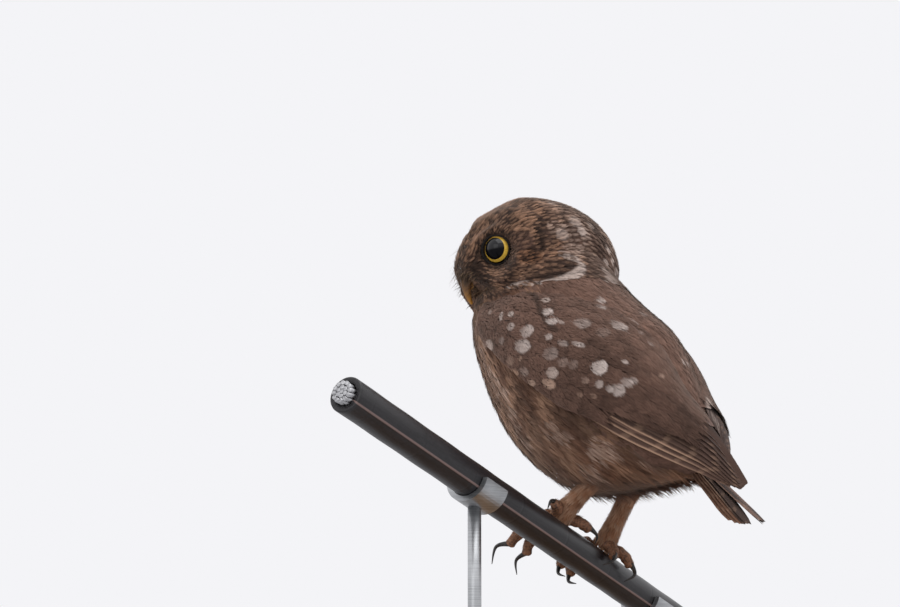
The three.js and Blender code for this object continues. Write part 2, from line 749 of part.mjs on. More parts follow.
function keep(group, name, solid, look) {
  const [color, roughness, metalness] = LOOKS[look];
  const material = new THREE.MeshStandardMaterial({ color, roughness, metalness });
  const mesh = new THREE.Mesh(geometryOf(largest(solid)), material);
  mesh.name = name;
  group.add(mesh);
}

const SIDES = { left: 1, right: -1 };

// Head
let head = skull(0);
for (const side of Object.values(SIDES)) head = head.add(lids(side)).subtract(eyeball(side, GAP));
head = head.subtract(upperBill(GAP)).subtract(lowerBill(GAP));
keep(owl, "head", moved(head, headMatrix), "plumage");
keep(owl, "bill_upper", moved(upperBill(0).subtract(nostrils()), headMatrix), "bill");
keep(owl, "bill_lower", moved(lowerBill(0).subtract(upperBill(GAP)), headMatrix), "bill");
for (const [name, side] of Object.entries(SIDES))
  keep(owl, "eye_" + name, moved(eyeball(side, 0), headMatrix), "eye");

// Torso and neck, parted by a leaning plane, with the head's round let into both
const roomForHead = moved(skull(GAP), headMatrix);
const roomForTrunk = trunk(GAP);
const partedAt = new THREE.Vector3(0, Math.sin(NECK_CUT.tilt), Math.cos(NECK_CUT.tilt));
const partedHeight = trunkMiddle(NECK_CUT.station).dot(partedAt);
const body = trunk(0).subtract(roomForHead);
keep(owl, "neck", body.trimByPlane(partedAt.toArray(), partedHeight + GAP / 2), "plumage");
keep(owl, "torso", body.trimByPlane(partedAt.clone().negate().toArray(), GAP / 2 - partedHeight), "belly");

// Wings and tail, each lying against the body
for (const [name, side] of Object.entries(SIDES))
  keep(owl, "wing_" + name, wing(side).subtract(roomForTrunk).subtract(roomForHead), "plumage");
keep(owl, "tail", tail().subtract(roomForTrunk), "plumage");

// Legs, each toe let in between the ones before it, and each claw into its toe
const roomForCable = cableRound(CABLE.radius + GAP, CABLE.left + 1, CABLE.right - 1, FINE.cableSides);
for (const [name, foot] of Object.entries(FEET)) {
  keep(owl, "leg_" + name, shin(foot, 0).subtract(roomForTrunk).subtract(roomForCable), "toes");
  let taken = shin(foot, GAP).add(roomForCable);
  foot.toes.forEach((digit, i) => {
    keep(owl, "toe_" + name + "_" + (i + 1), toe(digit, 0).subtract(taken), "toes");
    taken = taken.add(toe(digit, GAP));
  });
  foot.toes.forEach((digit, i) =>
    keep(owl, "claw_" + name + "_" + (i + 1), claw(digit).subtract(taken), "claw"),
  );
}

// Perch
const bore = cableRound(CABLE.coreRadius + GAP, CABLE.left + 1, CABLE.right - 1, FINE.coreSides);
const jacket = cableRound(CABLE.radius, CABLE.left, CABLE.right, FINE.cableSides);
keep(owl, "perch_jacket", jacket.subtract(bore), "cable");
const coreEnds = [CABLE.left + CABLE.coreProud, CABLE.right - CABLE.coreProud];
keep(owl, "perch_core", cableRound(CABLE.coreRadius, ...coreEnds, FINE.coreSides), "conductor");

// Stand
const toOwl = new THREE.Matrix4().makeTranslation(OWL_PLACE);
const standRoomForCable = moved(roomForCable, toOwl);
keep(stand, "stand_base", baseBoard(), "wood");
ROD.places.forEach((x, i) => {
  const cradleRound = (grow) => {
    const half = SADDLE.length / 2 + grow;
    const radius = CABLE.radius + GAP + SADDLE.wall + grow;
    return moved(cableRound(radius, x + half, x - half, FINE.cableSides), toOwl);
  };
  const middleHeight = cableUp.dot(cableAxis(x).add(OWL_PLACE));
  const cradle = cradleRound(0).subtract(standRoomForCable);
  const lowerHalf = cradle.trimByPlane(cableUp.clone().negate().toArray(), -middleHeight);
  keep(stand, "stand_saddle_" + (i + 1), lowerHalf, "steel");
  const top = byCable([x, Math.PI, 0]).add(OWL_PLACE);
  const foot = BASE.height + GAP;
  const rod = new THREE.CylinderGeometry(ROD.radius, ROD.radius, top.z - foot, FINE.rodSides);
  const placed = solidOf(rod.rotateX(Math.PI / 2).translate(top.x, top.y, (top.z + foot) / 2));
  keep(stand, "stand_rod_" + (i + 1), placed.subtract(cradleRound(GAP)), "steel");
});

const model = new THREE.Group();
model.add(owl, stand);

export default model;
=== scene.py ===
"""The looks of a life-size little owl that grips a short cut length of thick cable, on a plain display stand.

Shapes are worked out in millimetres in the owl's own frame, whose origin lies a little above the cable
between the feet: x towards the owl's left, y towards its back, z up. Meshes hold metres in the part's frame,
with OWL_PLACE added.
"""

import json

import bmesh
import bpy
import numpy as np
from bpy.props import FloatProperty, FloatVectorProperty, IntProperty, PointerProperty
from mathutils import Matrix, Vector

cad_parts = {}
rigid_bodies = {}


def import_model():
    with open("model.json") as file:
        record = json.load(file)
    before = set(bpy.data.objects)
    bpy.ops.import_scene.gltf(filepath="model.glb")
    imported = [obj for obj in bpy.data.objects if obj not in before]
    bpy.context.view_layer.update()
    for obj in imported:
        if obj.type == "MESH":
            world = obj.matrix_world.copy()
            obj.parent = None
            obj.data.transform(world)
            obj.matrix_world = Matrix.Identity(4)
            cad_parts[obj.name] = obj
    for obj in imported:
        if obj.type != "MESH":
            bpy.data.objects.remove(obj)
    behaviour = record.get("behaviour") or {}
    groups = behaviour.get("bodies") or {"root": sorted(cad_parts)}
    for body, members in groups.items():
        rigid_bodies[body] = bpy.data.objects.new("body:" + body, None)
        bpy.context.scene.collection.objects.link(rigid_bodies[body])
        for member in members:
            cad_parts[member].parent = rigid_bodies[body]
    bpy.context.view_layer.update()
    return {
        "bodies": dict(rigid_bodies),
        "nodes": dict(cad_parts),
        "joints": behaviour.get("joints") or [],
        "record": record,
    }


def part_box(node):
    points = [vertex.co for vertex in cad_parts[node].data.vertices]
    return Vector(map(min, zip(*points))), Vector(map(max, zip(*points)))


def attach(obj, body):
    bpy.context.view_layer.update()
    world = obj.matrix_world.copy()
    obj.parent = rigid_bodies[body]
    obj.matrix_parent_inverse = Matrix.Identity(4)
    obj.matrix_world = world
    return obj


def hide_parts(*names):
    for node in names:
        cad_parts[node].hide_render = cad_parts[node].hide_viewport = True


bl_info = {
    "name": "Little owl on a cable",
    "version": (1, 0, 0),
    "blender": (4, 5, 0),
    "location": "View3D > Sidebar > Little owl",
    "description": "Plumage, eyes, bill, feet, perch and stand of a life-size little owl",
    "category": "Object",
}

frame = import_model()

# Sizes in millimetres and angles in radians, the same as the solids'

DEG = np.pi / 180
BASE = {"corner": 12, "edge": 1.6}
CABLE = {"radius": 8, "core": 5, "proud": 3, "slope": 18.4 * DEG, "left": 176, "right": -122, "drop": 4.2}
SEAM = {"turn": 2.15, "rise": 0.35, "spread": 0.06}
HEAD = {"centre": (0, -25, 127.5), "yaw": 60 * DEG, "pitch": 17 * DEG}
SKULL = {
    "width": 32, "back": 40, "front": 39.5, "up": 30.5, "down": 27, "nape": 0.25, "brow": 0.12, "power": 2.25,
}
MUZZLE = {"direction": (0, -1, 0.06), "spread": 16, "rise": 3}
BILL_HOLLOW = {"direction": (0, -1, -0.34), "spread": 21, "depth": 9.5}
CHEEK = {"direction": (0.5, -0.84, 0.15), "angle": 42, "spread": 9, "rise": 1.4}
DENTS = {
    "brow": {"direction": (9, -25, 21), "spread": 13, "depth": 1.9},
    "chin": {"direction": (13, -32, -13), "spread": 17, "depth": 1.9},
}
EYE = {"radius": 7.4, "opening": 6, "place": (15.8, -25, 9.2), "turn": 38 * DEG, "tip": 6 * DEG}
DISC = {"inner": 6.5, "outer": 15, "proud": 0.2}
LID = {"inner": 6.5, "thickness": 0.4, "front": 0.7, "brow": 0.3, "corner": 0.28}
BILL = {
    "front": -29, "up": 5.5, "reach": 8.6, "drop": 12.9, "width": 8.6, "bend": 112 * DEG, "taper": 0.85,
    "power": 1.5,
}
LOWER_BILL = {"under": 4.2, "lean": 45 * DEG, "share": 0.62, "narrower": 0.8, "taper": 0.5, "power": 1.4}

# Torso and neck, at each station: back y, back z, front y, front z, half width; the last one closes the vent
TRUNK = (
    (6, 132, -34, 124, 27),
    (17, 117.5, -50, 108, 31.5),
    (33.5, 102, -53, 90, 32.5),
    (50, 87.5, -48, 72, 33.5),
    (60, 69, -40, 54, 34.5),
    (66, 53, -28, 37, 33.5),
    (69, 41, -11, 23, 31),
    (70, 32, 10, 15, 26),
    (70, 27, 34, 17, 16),
    (70, 23, 53, 20, 9),
    (69, 20, 66, 19.5, 1.5),
)

# Left wing, at each station: upper edge x, y, z, lower edge x, y, z, swell, thickness
WING = (
    (24, -32, 108, 30, -37, 90, 5, 5),
    (16, -6, 116, 37, -15, 71, 13, 8),
    (10, 25, 104, 39, 11, 52.5, 15, 9),
    (8, 49, 84, 38.5, 36, 41.5, 13, 8),
    (7, 63, 60, 33, 62, 30, 9, 6),
    (7, 80, 40, 25.5, 83, 21, 5, 4),
    (10, 95, 20, 16, 96.5, 12, 1.5, 1.8),
)
RIGHT_TIP = {"shift": (13, -17, 17), "power": 2.4}

TAIL = {"root": (0, 61, 32.5), "tip": (0, 95, 1.5), "root_width": 4.4, "tip_width": 7.6, "pairs": 6}
TAIL_VANE = {"width": 8, "lean": 0.35, "shorter_left": 0.15, "shorter_right": 0.07}
TAIL_FAN = {"arch": 1, "stack": 0.5, "split": 5, "split_drop": 2.5, "split_from": 1, "back": 1}

SHIN = {"top": 5.6, "waist": 1.5, "waist_end": 0.9}
TOE = {"radius": 3.1, "taper": 0.22}
CLAW = {"radius": 1.55, "taper": 0.88, "power": 0.8}

# The left side's markings in the head's own frame (x left, y back, z up) and millimetres, mirrored on the
# right: paths and how far each reaches aside
HEAD_STREAKS = {
    "ruff": (((30.8, -14, -10.5), (31, -6, -9.8), (31.3, 1, -8.4), (31.4, 3.4, -7)), 1.7),
    "ruff's upper end": (((31.4, 3.4, -7), (31.8, 3.3, -5), (32, 1, -3), (32, -2, -1)), 2.0),
    "ruff's thin end": (((31, -15, -10.7), (28, -22, -8.8), (21.5, -30, -9.8), (15, -35, -10.4)), 1.3),
    "patch over the ruff": (((30.6, -15, -8), (31.4, -7, -7), (31.6, -1, -4.5)), 3),
    "ear patch": (((28, -18.5, 11), (28.6, -16, 9.5)), 6),
    "line behind the ear": (((30, -9, 17), (31.2, -8, 11.4), (32.5, -10, 3.8)), 2),
    "line under the ear": (((31.4, -8, 4), (30.4, -14, 1.5), (29, -19, 1.5)), 1.8),
    "rufous streak": (((29.5, -19, 3), (31, -14, 1)), 4.2),
    "grey patch": (((30.6, 0, 12), (30.8, 7, 8), (29.5, 15, 6.2), (31.6, 3, -1)), 5),
    "lores": (((15.5, -33, 5), (10, -37, 4), (13, -36.5, -3), (15.3, -36, -7.8)), 5),
    # The brow's line is painted shade under the brow's overhang
    "brow": (((9.5, -31, 10), (11.4, -28.1, 13.7), (14.3, -25.5, 16), (18.7, -22.2, 16.6),
              (24, -19.2, 13.1)), 1.7),
}

# Pale spots of nape and hind crown: place, radius and strength
HEAD_SPOTS = (
    ((29, 14, 6.6), 2.6, 0.8), ((24.6, 27.8, -4.7), 2.3, 1), ((23.9, 28.6, -10.6), 2.1, 1),
    ((27.2, 22.8, -10.7), 2.2, 0.9),
    ((20.8, 30.4, -16.5), 2.8, 0.9), ((29, 9.6, -14.3), 2.4, 0.9), ((29.4, 13.8, -12.4), 2.6, 0.5),
    ((14.4, 18.5, 20.7), 3, 0.5), ((27.4, 13.2, 12), 3.6, 0.45),
    ((31.2, 2.5, 7.6), 3.4, 0.4), ((25, 21, 8), 2, 0.5),
    ((12, 32, 6), 2.4, 0.8), ((5, 36, -2), 2.4, 0.8), ((12, 37, -9), 2.3, 0.9), ((4, 28, 15), 2.2, 0.5),
    ((3, 36, -15), 2.6, 0.9), ((20, 8, 24), 2.4, 0.4),
)

# Kinds of head feathers: place, first and last distance from the bill, spacing along and across, and the half
# width and half length of the streak
HEAD_FEATHERS = (
    ("head", 0.2, 0.95, (3.2, 1.6), 0.72, 1.9), ("head", 0.95, 1.75, (4.2, 2.0), 0.85, 2.4),
    ("head", 1.75, 3.1, (3.6, 2.6), 1.15, 2.1), ("trunk", 0.2, 1.6, (4.2, 3.1), 1.4, 2.2),
)

# The collar, where the head's coat ends over the trunk's: the trunk's angle, and the station there
COLLAR = ((-3.15, -0.6, -0.18, 0.01, 0.22, 0.46, 0.72, 0.95, 1.16, 1.43, 1.58, 1.74, 1.93, 2.21, 3.15),
          (1.25, 1.25, 1.27, 1.22, 1.2, 1.12, 1.18, 1.2, 1.18, 1.25, 1.22, 1.22, 1.25, 1.25, 1.25))

# Pale spots of the mantle: station, angle, radius and strength, mirrored on the right
MANTLE_SPOTS = (
    (1.9, 0.6, 2.2, 0.6), (2.2, 0.62, 2, 0.5), (2.7, 0.47, 1.5, 0.4),
    (3, 0.45, 1.5, 0.35), (3.4, 0.42, 1.3, 0.4),
    (3.75, 0.05, 1.5, 0.45), (4.2, 0.4, 1.5, 0.35), (2.4, 0.2, 1.6, 0.25), (4.9, 0.15, 1.5, 0.3),
)

# Pale marks and painted shadows of the underside on the left: paths of (station, angle) on the trunk, reach,
# strength, and 1 pale or 0 dark. The dark ones lie along the wing's lower edge and are painted shadow of the
# wing.
BELLY_MARKS_AND_SHADOWS = (
    (((3.05, 2.36), (3.44, 2.29), (3.7, 2.22)), 3, 0.4, 1),
    (((3.92, 2.22), (4.31, 2.27), (4.6, 2.3)), 2.2, 0.4, 1),
    (((4.9, 2.33), (5.14, 2.35)), 2.4, 0.35, 1),
    (((5.95, 1.56), (6.1, 1.5)), 4.5, 0.35, 1), (((6.6, 1.95), (6.8, 1.9)), 3.6, 0.4, 1),
    (((5, 1.85), (5.3, 1.8)), 3.2, 0.25, 1), (((6.6, 1.05), (6.9, 1)), 6, 0.2, 1),
    (((2.4, 2.35), (2.6, 2.35)), 2.6, 0.4, 1), (((4.6, 1.6), (5.2, 1.5)), 7, 0.4, 0),
    (((6.1, 1.25), (6.4, 1.2)), 5.5, 0.35, 0), (((3.6, 2.0), (4.4, 1.95), (5, 2.1)), 3, 0.35, 0),
)

# Pale spots of the left wing, mirrored on the right: s, t, half length, half width, strength, and buff's
# share
WING_SPOTS = (
    (0.09, 0.94, 3.8, 3, 0.75, 0.25), (0.15, 0.56, 1.7, 1.4, 0.85, 0.1), (0.12, 0.6, 1.1, 2.4, 0.85, 0.1),
    (0.07, 0.55, 1.3, 1.3, 0.4, 0.2), (0.16, 0.67, 2.2, 2, 0.45, 0), (0.21, 0.77, 4.4, 3.6, 0.62, 0),
    (0.21, 0.65, 3.4, 3.3, 0.55, 0), (0.14, 0.82, 2, 2, 0.25, 0), (0.18, 0.92, 2.6, 2.4, 0.35, 0.7),
    (0.21, 0.86, 1.4, 1.3, 0.4, 0.8), (0.23, 0.92, 3, 2.2, 0.3, 0.3), (0.29, 0.71, 3.8, 3.4, 0.28, 0.1),
    (0.27, 0.61, 1.9, 1.6, 0.6, 0), (0.31, 0.6, 2.8, 1.5, 0.4, 0.1), (0.35, 0.55, 3.4, 1.3, 0.5, 0),
    (0.33, 0.72, 2.8, 2.4, 0.2, 0.3), (0.36, 0.7, 2.6, 2.4, 0.18, 0.3), (0.33, 0.38, 4, 3.2, 0.32, 0),
    (0.41, 0.22, 4.2, 3, 0.55, 0), (0.39, 0.36, 3.2, 3, 0.15, 0.2), (0.31, 0.82, 3.4, 2.8, 0.75, 0.25),
    (0.31, 0.89, 4, 2.4, 0.8, 0.75), (0.26, 0.95, 2.4, 1.6, 0.65, 0.7), (0.2, 0.97, 3, 1.8, 0.6, 0.9),
    (0.43, 0.63, 3.8, 3.6, 0.95, 0), (0.48, 0.48, 1.7, 1, 0.7, 0.1), (0.41, 0.76, 2, 1.6, 0.3, 0.6),
    (0.45, 0.74, 2, 2, 0.5, 0), (0.48, 0.735, 2, 1.7, 0.45, 0), (0.5, 0.71, 3.3, 3.1, 0.5, 0),
    (0.51, 0.62, 3, 2.2, 0.42, 0), (0.52, 0.57, 1.8, 1.6, 0.35, 0), (0.57, 0.34, 1.1, 1.8, 0.35, 0.7),
    (0.5, 0.15, 1.7, 1, 0.4, 0.2), (0.42, 0.08, 1.7, 1.1, 0.35, 0.2), (0.46, 0.13, 1.4, 1.2, 0.3, 0.2),
    (0.22, 0.33, 2, 1.9, 0.65, 0.2), (0.24, 0.43, 2.5, 2.3, 0.85, 0), (0.26, 0.49, 2.8, 2, 0.7, 0),
    (0.28, 0.46, 2.3, 0.8, 0.5, 0.1), (0.31, 0.1, 2.5, 1.3, 0.6, 0), (0.34, 0.15, 2.5, 1.8, 0.5, 0),
    (0.41, 0.86, 1.6, 1.2, 0.3, 0.8), (0.45, 0.83, 1.6, 1.2, 0.3, 0.8),
)
# Toes and claws as (x, angle round the cable from its top towards the back, distance off its skin)
FEET = {
    "left": {
        "ankle": (17.5, 0.2, 5.2),
        "hock": (16.5, 25, 25),
        "toes": (
            (((14, 0.1, 3.2), (8, 0.45, 4.6), (2, 0.5, 4.4)),
             ((1.2, 0.5, 5.2), (-4.6, 0.62, 4.2), (-6.6, 0.7, 0.6))),
            (((16, -0.3, 3.2), (15.5, -1.1, 4.2), (15, -1.65, 7.5), (14.5, -1.9, 9)),
             ((14.5, -1.88, 8.5), (13.8, -1.95, 15.5), (12.5, -2.2, 18))),
            (((20, -0.3, 3.2), (22, -1.1, 4.6), (23, -1.6, 9), (23.5, -1.8, 12)),
             ((23.5, -1.8, 11.4), (24.5, -1.8, 19), (23.8, -2.05, 23))),
            (((20, 0.1, 3.4), (25, 0.3, 5), (28, 0.35, 5)),
             ((27.6, 0.3, 6), (31.5, 0.35, 5), (32.5, 0.5, 0.8))),
        ),
    },
    "right": {
        "ankle": (-17.5, 0.3, 5.2),
        "hock": (-17.5, 21, 22),
        "toes": (
            (((-16, 0.3, 3.2), (-15, 0.9, 4.2), (-14, 1.3, 4)),
             ((-14, 1.25, 5), (-12, 1.55, 5), (-9.5, 1.85, 2))),
            (((-14, -0.3, 3.2), (-10, -1, 3.6), (-7, -1.6, 3.6), (-6, -1.9, 3.4)),
             ((-6, -1.85, 4.2), (-5, -2.2, 5.6), (-4, -2.6, 3.8))),
            (((-18, -0.3, 3.2), (-16, -1, 3.6), (-14.5, -1.6, 3.6), (-14, -2, 3.4)),
             ((-14, -1.95, 4.2), (-13, -2.3, 5.6), (-12, -2.7, 3.8))),
            (((-20, 0.3, 3.2), (-24, 0.9, 4.6), (-28, 1.2, 4.4)),
             ((-27.4, 1.2, 5.4), (-31.5, 1.5, 5), (-30, 1.9, 1.4))),
        ),
    },
}
SIDES = {"left": 1, "right": -1}
LEFT, BACK, UP = np.eye(3)

# Where the trunk's coat leads to in the owl's frame, and where the head's starts in the head's own
VENT = np.array([0, 74.0, 14.0])
BILL_ROOT = np.array([0, -37.0, 3.0])

# A direction that no tube starts along, to take the first ring's side from
FIRST_SIDE = np.array([0.31, 0.2, 0.93])

# How strongly noise flecks the coat's colours
FLECK = 0.45

# How far the skin lies under a leg's outline, the share of a wing's length that it fills, its least thickness
# there and the size of the cells that join its shells, in millimetres
SKIN = {"under_leg": 1.2, "wing_end": 0.72, "thinnest": 1.2, "voxel": 1.2}

# The spacing and sizes of the head's and the legs' coats, and how far the head's stays off eye and bill
HEAD_COAT = {"gap": 0.76, "length": 2.9, "width": 0.8, "off_eye": 6.9, "off_bill": 4.4}
LEG_COAT = {"gap": 0.8, "length": 4.0, "width": 0.95}

# The trunk's coats: slot, first and last angle, spacing, length and width of the barbs, and the spacing of
# the feathers that they are gathered into, how much and how high
TRUNK_COATS = {
    "mantle_coat": ("plumage", -1.5, 1.5, 0.8, 4.4, 1.1, (7, 6), 0.2, 0.3),
    "belly_coat": ("pale_plumage", 1.2, 2 * np.pi - 1.2, 1.05, 8.0, 1.0, (7, 4.2), 0.4, 0.7),
}

# Bristles: how many on each toe and round the bill, and how far the bill's stay off the eyes and its root
BRISTLES = {"toe": 170, "bill": 900, "off_eye": 7.8, "off_bill": 4}

# The length in which the conductor's strands turn once round
TWIST = 90


def tone(red, green, blue):
    """A colour given in parts of 255 as the eye sees it, turned into the linear amounts that a shader
    takes."""
    shares = np.array([red, green, blue]) / 255
    return np.where(shares <= 0.04045, shares / 12.92, ((shares + 0.055) / 1.055) ** 2.4)


# Vectors and curves


def unit(vectors):
    return vectors / np.maximum(np.linalg.norm(vectors, axis=-1, keepdims=True), 1e-9)


def dot(a, b):
    return (a * b).sum(-1)


def smooth(value, low, high):
    """0 below low, 1 above high, and 3t²-2t³ between."""
    t = np.clip((value - low) / (high - low), 0, 1)
    return t * t * (3 - 2 * t)


def between(table, u):
    """Values between the rows of a table: at u = i + t the cubic through rows i and i+1 whose slope at each
    row is half the difference of its two neighbours."""
    table = np.asarray(table, float)
    u = np.asarray(u, float)
    last = len(table) - 1
    i = np.clip(np.floor(u).astype(int), 0, last - 1)
    t = (u - i)[..., None]
    a, b, c, d = (table[np.clip(i + k, 0, last)] for k in (-1, 0, 1, 2))
    return b + 0.5 * t * (c - a + t * (2 * a - 5 * b + 4 * c - d + t * (3 * (b - c) + d - a)))


def even_path(points, count):
    """count points at even distances along the smooth curve through the given ones."""
    fine = between(points, np.linspace(0, len(points) - 1, 200))
    along = path_length(fine)
    wanted = np.linspace(0, along[-1], count)
    return np.stack([np.interp(wanted, along, fine[:, k]) for k in range(3)], -1)


def turn_matrix(axis, angle):
    return np.array(Matrix.Rotation(angle, 3, axis))


def left_side(points):
    """Points with those on the right mirrored to the left."""
    return np.concatenate([np.abs(points[..., :1]), points[..., 1:]], -1)


def around(turn, first, second):
    """Directions round a circle: first·cos(turn) + second·sin(turn)."""
    return np.cos(turn)[..., None] * first + np.sin(turn)[..., None] * second


def wrapped(turn):
    """An angle brought between -π and π."""
    return (turn + np.pi) % (2 * np.pi) - np.pi


def path_length(points):
    """How far along a path each of its points lies."""
    return np.concatenate([[0], np.cumsum(np.linalg.norm(np.diff(points, axis=0), axis=1))])


def crossed(a, b):
    """Each of one row of numbers with each of another, as two grids."""
    return np.meshgrid(a, b, indexing="ij")


# The perch's axis, and the owl's place

CABLE_UP = np.array([-np.sin(CABLE["slope"]), 0, np.cos(CABLE["slope"])])
CABLE_ALONG = np.array([np.cos(CABLE["slope"]), 0, np.sin(CABLE["slope"])])


def cable_axis(x):
    """The cable's axis where it passes a given x."""
    along = np.asarray(x, float)[..., None] / np.cos(CABLE["slope"]) * CABLE_ALONG
    return along - CABLE["radius"] * CABLE_UP - np.array([0, 0, CABLE["drop"]])


def owl_place():
    """The owl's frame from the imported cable: the middle of its box less the middle of the cable's axis."""
    low, high = (np.array(corner) * 1000 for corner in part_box("perch_jacket"))
    return (low + high) / 2 - cable_axis((CABLE["left"] + CABLE["right"]) / 2)


OWL_PLACE = owl_place()


# The owl's own surfaces. Each place function gives the plumage's outline from two numbers.


def trunk_place(station, angle):
    """An ellipse across the body at each station: middle + up·half·cos(angle) + x·width·sin(angle), where up
    runs from the front to the back, so angle 0 is the back and π the breast."""
    back_y, back_z, front_y, front_z, width = np.moveaxis(between(TRUNK, station), -1, 0)[..., None]
    back, front = back_y * BACK + back_z * UP, front_y * BACK + front_z * UP
    return (back + front) / 2 + around(angle, (back - front) / 2, width * LEFT)


def in_trunk(points):
    """How far inside the trunk points lie, as 1 - the ellipse's value in the nearest station's plane, and -1
    where that plane is more than 4 mm away."""
    stations = np.linspace(0, len(TRUNK) - 1, 61)
    back, front = trunk_place(stations, 0 * stations), trunk_place(stations, 0 * stations + np.pi)
    up = unit(back - front)
    half = np.linalg.norm(back - front, axis=1) / 2
    width = between(TRUNK, stations)[:, 4]
    plane = np.cross(up, LEFT)
    from_middle = points[:, None] - ((back + front) / 2)[None]
    nearest = np.abs(dot(from_middle, plane[None])).argmin(1)
    offset = from_middle[np.arange(len(points)), nearest]
    value = np.hypot(dot(offset, up[nearest]) / half[nearest], offset[:, 0] / width[nearest])
    return np.where(np.abs(dot(offset, plane[nearest])) < 4, 1 - value, -1)


HEAD_TURN = turn_matrix("Z", HEAD["yaw"]) @ turn_matrix("X", HEAD["pitch"])
EYE_PLACE = np.array(EYE["place"], float)
EYE_LOOK = np.array([
    np.sin(EYE["turn"]) * np.cos(EYE["tip"]), -np.cos(EYE["turn"]) * np.cos(EYE["tip"]), np.sin(EYE["tip"]),
])


def from_head(points):
    return points @ HEAD_TURN.T + np.array(HEAD["centre"])


def to_head(points):
    return (points - np.array(HEAD["centre"])) @ HEAD_TURN


def angle_off(direction, pole):
    """The angle between directions and a pole, in degrees."""
    return np.arccos(np.clip(direction @ unit(np.array(pole, float)), -1, 1)) / DEG


def dented(radius, direction, dent, depth):
    """A radius lessened round a direction by depth·exp(-(angle/spread)²), or at a dent's own angle off it."""
    off = angle_off(direction, dent["direction"]) - dent.get("angle", 0)
    return radius - depth * np.exp(-((off / dent["spread"]) ** 2))


def skull_radius(direction):
    """The plumage's distance from the head's middle along a direction: an egg of power 2.25, longer behind,
    with a muzzle of bristles, a hollow round the bill, a rim of cheek feathers, shallow dents at brow and
    chin, and a flat round each eye, for the lids."""
    x, y, z = np.moveaxis(direction, -1, 0)
    sunk = z + SKULL["nape"] * np.maximum(0, y) - SKULL["brow"] * np.minimum(0, y)
    depth = np.where(y > 0, SKULL["back"], SKULL["front"])
    height = np.where(sunk > 0, SKULL["up"], SKULL["down"])
    power = SKULL["power"]
    egg = np.abs(x / SKULL["width"]) ** power + np.abs(y / depth) ** power + np.abs(sunk / height) ** power
    mirrored = left_side(direction)
    radius = dented(egg ** (-1 / power), direction, MUZZLE, -MUZZLE["rise"])
    radius = dented(radius, direction, BILL_HOLLOW, BILL_HOLLOW["depth"])
    radius = dented(radius, mirrored, CHEEK, -CHEEK["rise"])
    for dent in DENTS.values():
        radius = dented(radius, mirrored, dent, dent["depth"])
    ahead = mirrored @ EYE_LOOK
    to_disc = (EYE_PLACE @ EYE_LOOK) / np.where(np.abs(ahead) < 1e-6, 1e-6, ahead)
    off = np.linalg.norm(mirrored * to_disc[..., None] - EYE_PLACE, axis=-1)
    flat = np.where(to_disc > 0, 1 - smooth(off, DISC["inner"], DISC["outer"]), 0)
    return radius + (to_disc + DISC["proud"] - radius) * flat


def head_direction(polar, turn):
    """A direction in the head's frame from its angle off the bill and the turn round it, 0 up and π/2 to the
    left."""
    return around(polar, -BACK, around(turn, UP, LEFT))


def head_place(polar, turn):
    direction = head_direction(polar, turn)
    return from_head(direction * skull_radius(direction)[..., None])


def in_head(points):
    """How far inside the head's outline points lie, in millimetres."""
    local = to_head(points)
    return skull_radius(unit(local)) - np.linalg.norm(local, axis=-1)


def wing_row(side, s):
    row = between(WING, s * (len(WING) - 1))
    flip = np.array([side, 1, 1])
    held = np.zeros_like(s) if side > 0 else np.clip(s, 0, 1) ** RIGHT_TIP["power"]
    shift = held[..., None] * np.array(RIGHT_TIP["shift"], float)
    return row[..., :3] * flip + shift, row[..., 3:6] * flip + shift, row[..., 6], row[..., 7]


def wing_place(side, s, t):
    """A wing's outline: upper + (lower - upper)·t + out·swell·sin(πt)^0.8, s from the bend to the tip."""
    upper, lower, swell, _ = wing_row(side, s)
    across = lower - upper
    back = wing_row(side, np.minimum(1, s + 0.02))[0] - wing_row(side, np.maximum(0, s - 0.02))[0]
    out = unit(np.cross(across, back))
    out = out * np.where(out[..., :1] * side < 0, -1, 1)
    bow = swell * np.maximum(np.sin(np.pi * np.clip(t, 0, 1)), 0) ** 0.8
    return upper + across * t[..., None] + out * bow[..., None]


def by_cable(places):
    """Points from (x, angle round the cable, distance off its skin)."""
    x, angle, off = np.moveaxis(np.asarray(places, float), -1, 0)
    return cable_axis(x) + around(angle, CABLE_UP, BACK) * (CABLE["radius"] + off)[..., None]


# The lie of a coat


def slopes(place, a, b, outward):
    """A surface's point, its slopes along a and b by differences, and its unit normal, turned outward by a
    sign."""
    step = 1e-3
    along = (place(a + step, b) - place(a - step, b)) / (2 * step)
    across = (place(a, b + step) - place(a, b - step)) / (2 * step)
    return place(a, b), along, across, unit(np.cross(along, across)) * outward


def laid(lie, points, normals):
    """The way that a coat lies at points, laid into their surface."""
    way = lie(points, normals)
    return unit(way - dot(way, normals)[:, None] * normals)


def comb(place, outward, a, b, lie, length, count):
    """Lines over a surface, one from each root (a, b), each length long and in count points. At every point
    the way the coat lies, lie(points, normals), is laid into the surface, and the steps of a and b that
    follow it come from the two equations that its slopes give. Gives points and normals as (roots, count,
    3)."""
    a, b = a.copy(), b.copy()
    points, normals = [], []
    step = length / (count - 1)
    for _ in range(count):
        point, along, across, normal = slopes(place, a, b, outward)
        points.append(point)
        normals.append(normal)
        way = laid(lie, point, normal) * step[:, None]
        aa, ab, bb = dot(along, along), dot(along, across), dot(across, across)
        wa, wb = dot(way, along), dot(way, across)
        size = np.maximum(aa * bb - ab * ab, 1e-9)
        a += np.clip((wa * bb - wb * ab) / size, -0.5, 0.5)
        b += np.clip((wb * aa - wa * ab) / size, -0.5, 0.5)
    return np.stack(points, 1), np.stack(normals, 1)


